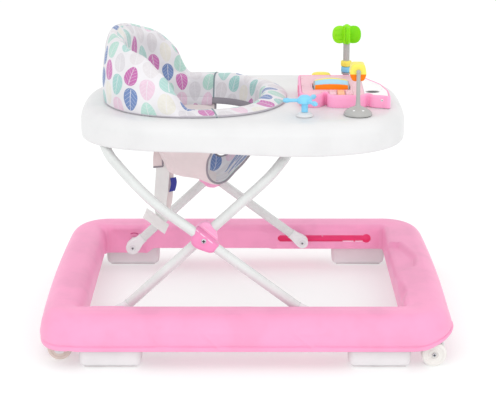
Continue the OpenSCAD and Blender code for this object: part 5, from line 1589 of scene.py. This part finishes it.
def ybutton():
    rows = []
    for a, b, z in [(19, 14, 411), (19, 14, 412.0), (18.6, 13.6, 416), (17.8, 12.8, 420.6), (16.6, 11.6, 423.6), (14.8, 10.0, 425.5), (12.4, 8.2, 426.2), (6, 4, 426.4)]:
        rows.append([(136 + a * math.cos(t), 84 + b * math.sin(t), z) for t in np.linspace(0, 2 * pi, 64, endpoint=False)])
    o = loft("b", rows, M["yellow"], autosmooth=50)
    st = lathe("b", [(0, 405), (4.9, 405), (4.9, 412.5), (0, 412.5)], (136, 84, 0), "z", M["yellow"], 32, closed=False)
    r = sweep("b", [(136 + 9 * math.cos(a), 84 + 6 * math.sin(a), 426.2) for a in np.linspace(0, 2 * pi, 48, endpoint=False)], 0.45, M["yellow"], 8, closed=True)
    return join("push_button", [o, st, r])
put(ybutton(), "yellow_button", "yellow_plastic", "yellow_button")

# ------------------------------------------------------------------ windmill, drum, spinner
WX, WY = 181, 80
def dome_prof(r, h, top_r):
    P = [(0, 0), (r - 0.8, 0), (r, 0.8), (r, 2.0)]
    for a in np.linspace(8, 80, 12):
        q = r * math.cos(math.radians(a)); z = 2 + (h - 2) * math.sin(math.radians(a))
        if q > top_r + 1:
            P.append((q, z))
    return P
def windmill():
    P = dome_prof(22, 14, 6) + [(7.4, 14.4), (6.2, 16), (5.8, 18.5), (5.8, 24.4), (8.4, 24.8), (8.4, 27.6), (5.8, 27.7), (5.8, 80), (3.0, 80.2), (3.0, 107), (0, 107.4)]
    o = lathe("w", P, (WX, WY, TZ), "z", M["grey"], 64, 32, closed=False)
    rib = []
    for k in range(4):
        a = pi / 4 + k * pi / 2
        pts = [(WX + r * math.cos(a), WY + r * math.sin(a), TZ + z) for r, z in ((20.5, 4.8), (16, 9.6), (11, 13.0), (7, 16.4))]
        rib.append(sweep("w", pts, 1.1, M["grey"], 8))
    put(join("windmill_stand", [o] + rib), "tray", "grey_plastic", "windmill_post")
    for nm, z0, mat, slot, body in (("ring_blue", 28.0, M["blue"], "blue_plastic", "ring_blue"), ("ring_yellow", 38.7, M["yellow"], "yellow_plastic", "ring_yellow")):
        rows = []
        n = 96
        R0 = 8.6 if nm == "ring_blue" else 9.2
        for k in range(n):
            t = 2 * pi * k / n
            bump_ = 0.55 * max(0.0, math.cos(4 * t)) ** 0.6 if math.cos(4 * t) > 0 else 0.0
            row = []
            for r, z in [(5.9, 0), (R0 - 1.6, 0), (R0 - 0.5, 0.5), (R0, 1.8), (R0, 5.2), (R0, 8.6), (R0 - 0.5, 9.9), (R0 - 1.6, 10.4), (5.9, 10.4)]:
                q = r + (bump_ if r > R0 - 1 else 0)
                row.append((WX + q * math.cos(t), WY + q * math.sin(t), TZ + z0 + z))
            rows.append(row)
        A = np.array(rows); R_, C_ = A.shape[:2]
        F = [(i * C_ + k, i * C_ + (k + 1) % C_, ((i + 1) % R_) * C_ + (k + 1) % C_, ((i + 1) % R_) * C_ + k) for i in range(R_) for k in range(C_)]
        put(add("spin_" + nm, A.reshape(-1, 3), F, mat, True, autosmooth=40), body, slot, nm)
    # rotor: hub sleeve and four rounded vanes with a slight twist
    bits = [lathe("r", [(3.1, 80.3), (6.4, 80.3), (7.0, 81), (7.0, 111.6), (6.4, 113.0), (4.4, 113.5), (3.9, 113.7), (3.6, 114.6), (2.6, 115.2), (0, 115.3), (0, 110), (3.1, 109.8)], (WX, WY, TZ), "z", None, 48, 35, mats=[M["green"], M["grey"]], fm=lambda k: 0, closed=True)]
    for k in range(4):
        a0 = k * pi / 2
        # painted shade: the right and front vanes take the darker green, the left and back ones the lighter
        mat = M["green2"] if k in (0, 3) else M["green"]
        ns = 40
        R1, R2 = [], []
        for i, (rad, th) in enumerate([(1.0, 2.35), (0.99, 1.9), (0.96, 0.0)]):
            pass
        outl = []
        for i in range(ns):
            t = 2 * pi * i / ns
            c, s_ = math.cos(t), math.sin(t)
            x = 12.3 + 13.6 * math.copysign(abs(c) ** 0.86, c)
            z = 96.6 + 16.0 * math.copysign(abs(s_) ** 0.86, s_)
            outl.append((x, z))
        rows = []
        for f, ins in ((-2.5, 1.0), (-2.1, 0.3), (-1.2, 0.0), (1.2, 0.0), (2.1, 0.3), (2.5, 1.0)):
            row = []
            for x, z in outl:
                cx, cz = x - 12.3, z - 96.6
                L = math.hypot(cx, cz)
                xx, zz_ = 12.3 + cx * (1 - ins / L), 96.6 + cz * (1 - ins / L)
                yy = f + 0.9 * math.sin((xx - 4) / 21 * pi * 0.9) - 0.4
                row.append((WX + xx * math.cos(a0) - yy * math.sin(a0), WY + xx * math.sin(a0) + yy * math.cos(a0), TZ + zz_))
            rows.append(row)
        bits.append(loft("r", rows, mat, autosmooth=45))
        for q in (-9, 0, 9):        # fine raised ribs on each vane
            for sg in (-1, 1):
                pts = []
                for xx in (8, 12, 16, 20.5):
                    yy = sg * 2.45 + 0.9 * math.sin((xx - 4) / 21 * pi * 0.9) - 0.4
                    pts.append((WX + xx * math.cos(a0) - yy * math.sin(a0), WY + xx * math.sin(a0) + yy * math.cos(a0), TZ + 96.6 + q))
                bits.append(sweep("r", pts, 0.4, mat, 6))
    put(join("windmill_vanes", bits), "windmill_rotor", "green_plastic", "windmill_rotor")
windmill()

DX, DY, DZ = 188, -141, 473
def drum():
    P = [(0, 0), (23.2, 0), (24, 0.8), (24, 2.4), (23.4, 4.2), (21.4, 6.6), (18, 9.2), (14, 11.4), (10, 13), (6.6, 14.2), (4.8, 15.6), (4.1, 18), (3.6, 24), (3.4, 34), (3.4, DZ - TZ - 3), (2.6, DZ - TZ - 1), (0, DZ - TZ - 0.8)]
    bits = [lathe("d", P, (DX, DY, TZ), "z", M["grey"], 64, 30, closed=False)]
    prof = [(0, -3.6), (2.0, -3.4), (3.2, -2.4), (3.8, -0.8), (3.8, 2.0), (3.2, 4.2), (2.5, 5.0), (2.5, DY * 0 + 37), (4.4, 37.2), (4.4, 38.8), (3.4, 39.4), (0, 39.4)]
    bits.append(lathe("d", prof, (DX, DY, DZ), "y", M["grey"], 36, 32, closed=False))
    for y, x in ((-14.0, -7.4), (-14.6, 7.6)):
        r_ = math.hypot(x, y)
        z = 8.2
        bits.append(lathe("d", [(0, 0), (2.1, 0), (2.1, 0.9), (1.5, 1.3), (0, 1.4)], (DX + x, DY + y, TZ + 9.3 - 0.0), "z", M["panel"], 24, closed=False))
    put(join("drum_pedestal", bits), "tray", "grey_plastic", "drum_stand")
    # block: wide in the middle, narrower at the top and bottom, yellow over orange
    def sect(y, g):
        half = [(0, 11.4), (8.6, 11.4), (10.6, 10.6), (11.5, 8.6), (13.0, 1.0), (13.7, -3.0), (13.7, -6.5), (12.6, -10.6), (10.8, -14.6), (9.3, -16.6), (7.4, -17.2), (0, -17.2)]
        pts = half + [(-x, z) for x, z in half[-2:0:-1]]
        pts = smooth_poly(dense(pts[::-1], 1.6), 2)
        L = np.linalg.norm(pts, axis=1)[:, None]
        pts = pts * (1 - g / L)
        return [(DX + p[0], y, DZ + p[1]) for p in pts]
    rows = [sect(y, g) for y, g in ((-135.4, 3.2), (-135.2, 1.6), (-134.4, 0.5), (-133, 0), (-126, 0), (-120.6, 0), (-120.3, 0.45), (-120.0, 0), (-114, 0), (-107.8, 0), (-106.4, 0.5), (-105.6, 1.6), (-105.4, 3.2))]
    A = np.array(rows)
    zmid = DZ - 5.2
    R_, C_ = A.shape[:2]
    V = A.reshape(-1, 3)
    b = loft("d", rows, None, mats=[M["yellow"], M["orange"]], fm=lambda i, k: 0 if (rows[i][k][2] + rows[i][(k + 1) % C_][2]) / 2 > zmid else 1, autosmooth=40)
    # the end faces are split between the colours too
    me = b.data
    bm = bmesh.new(); bm.from_mesh(me)
    bmesh.ops.bisect_plane(bm, geom=list(bm.verts) + list(bm.edges) + list(bm.faces), plane_co=(0, 0, zmid * MM), plane_no=(0, 0, 1))
    bm.faces.ensure_lookup_table()
    for f in bm.faces:
        f.material_index = 0 if f.calc_center_median().z > zmid * MM else 1
    bm.to_mesh(me); bm.free(); me.update()
    bore = lathe("k", [(0, -150), (2.7, -150), (2.7, -95), (0, -95)], (DX, 0, DZ), "y", M["dark"], 24, closed=False)
    boolean(b, [bore])
    sharpen(b, 42)
    b.name = "drum_block"
    put(b, "drum", "yellow_plastic", "drum_body")
drum()

SX, SY = 98, -152
def spinner():
    P = [(0, 0), (13.9, 0), (14.5, 0.6), (14.5, 1.6), (13.4, 3.4), (11, 5.2), (8, 6.5), (6.2, 7.0), (2.5, 7.1), (2.5, 29), (0, 29)]
    put(lathe("spinner_stand", P, (SX, SY, TZ), "z", M["white"], 56, 30, closed=False), "tray", "white_plastic", "spinner_base")
    bits = [lathe("s", [(2.6, 7.4), (5.2, 7.4), (5.6, 7.9), (5.6, 21), (6.4, 21.8), (11, 22.2), (12.4, 23.2), (12.8, 25.0), (12.4, 28.4), (11.2, 31.4), (9, 34), (6, 35.6), (3, 36.2), (0, 36.3), (0, 32.2), (2.6, 32.0)], (SX, SY, TZ), "z", M["blue"], 56, 35, closed=True)]
    for a in (60, 180, 300):
        r = math.radians(a)
        d = np.array([math.cos(r), math.sin(r), 0])
        c = np.array([SX, SY, TZ + 27.0])
        t = np.linspace(8, 33.4, 14)
        rad = [3.5 - 0.6 * sm(8, 16, q) + 1.5 * math.exp(-((q - 30) / 3.6) ** 2) for q in t]
        rad = rad + [3.4, 1.6]
        pts = [c + d * q for q in t] + [c + d * 35.4, c + d * 36.6]
        bits.append(sweep("s", pts, rad, M["blue"], 20))
        bits.append(sweep("s", [c + d * q + np.array([0, 0, 2.9 - 0.02 * q]) for q in (9, 16, 23, 28)], 0.5, M["blue"], 8))
    put(join("spinner_star", bits), "spinner", "blue_plastic", "spinner_rotor")
spinner()

# ------------------------------------------------------------------ CAD pieces that stay: better materials
N = frame["nodes"]
def dress(name, mat, bev=0.0):
    o = N[name]
    o.data.materials.clear()
    o.data.materials.append(mat)
    if bev:
        bevel(o, bev, 2, 40)
# the slide guides take the deep pink with its painted glow
for nm, mat, bv in (("base_screws", M["screw"], 0.0), ("slide_guides", M["deep"], 0.4), ("tray_pivot_brackets", M["white"], 0.5), ("tray_tracks", M["white"], 0.4),
                    ("seat_ring", M["white"], 0.4), ("speaker", M["dark"], 0.3), ("circuit_board", M["board"], 0.0),
                    ("battery_cells", M["battery"], 0.3), ("battery_door", M["console"], 0.4), ("toy_screws", M["screw"], 0.0)):
    dress(nm, mat, bv)

# ------------------------------------------------------------------ floor, light, camera
def floor():
    n = 24
    L = 16000
    V = []; F = []
    xs = np.linspace(-L, L, n)
    for y in xs:
        for x in xs:
            V.append((x, y, 0))
    for j in range(n - 1):
        for i in range(n - 1):
            F.append((j * n + i, j * n + i + 1, (j + 1) * n + i + 1, (j + 1) * n + i))
    m = plastic("floor_paper", (206, 210, 209), 0.75, 0.002, 0.02, 0.1, big=2.0)
    b = m.node_tree.nodes["Principled BSDF"]           # a lit translucent table
    b.inputs["Emission Color"].default_value = (1.0, 0.985, 0.985, 1)
    b.inputs["Emission Strength"].default_value = 0.40
    o = add("studio_floor", V, F, m)
floor()

w = bpy.data.worlds.new("studio"); sc.world = w
w.use_nodes = True
bg = w.node_tree.nodes["Background"]
bg.inputs[0].default_value = (1.0, 0.995, 0.99, 1)
bg.inputs[1].default_value = 1.0

def area(name, loc, target, size, power, color=(1, 1, 1)):
    d = bpy.data.lights.new(name, "AREA")
    d.shape = "RECTANGLE"; d.size = size[0]; d.size_y = size[1]; d.energy = power; d.color = color
    o = bpy.data.objects.new(name, d)
    sc.collection.objects.link(o)
    o.location = loc
    o.rotation_euler = (Vector(target) - Vector(loc)).to_track_quat("-Z", "Y").to_euler()
    return o
area("key_light", (-1.6, -2.4, 3.6), (0, 0, 0.3), (3.2, 3.2), 22)
area("fill_light", (2.6, -1.8, 2.4), (0, 0, 0.2), (2.6, 2.6), 9)

area("front_light", (0.2, -4.2, 1.5), (0, 0, 0.1), (3.0, 1.6), 16)

cam = bpy.data.cameras.new("photo_camera")
co_ = bpy.data.objects.new("photo_camera", cam)
sc.collection.objects.link(co_)
cam.sensor_fit = "HORIZONTAL"; cam.sensor_width = 36
cam.lens = 1556.0 / 496.0 * 36.0
cam.clip_start = 0.05; cam.clip_end = 60
co_.location = (0.003, -2.6975, 0.9962)
co_.rotation_euler = (math.radians(90 - 16.3), 0, 0)
sc.camera = co_
sc.view_settings.view_transform = "Standard"
sc.view_settings.look = "None"
sc.view_settings.exposure = 0.0
sc.view_settings.gamma = 1.0
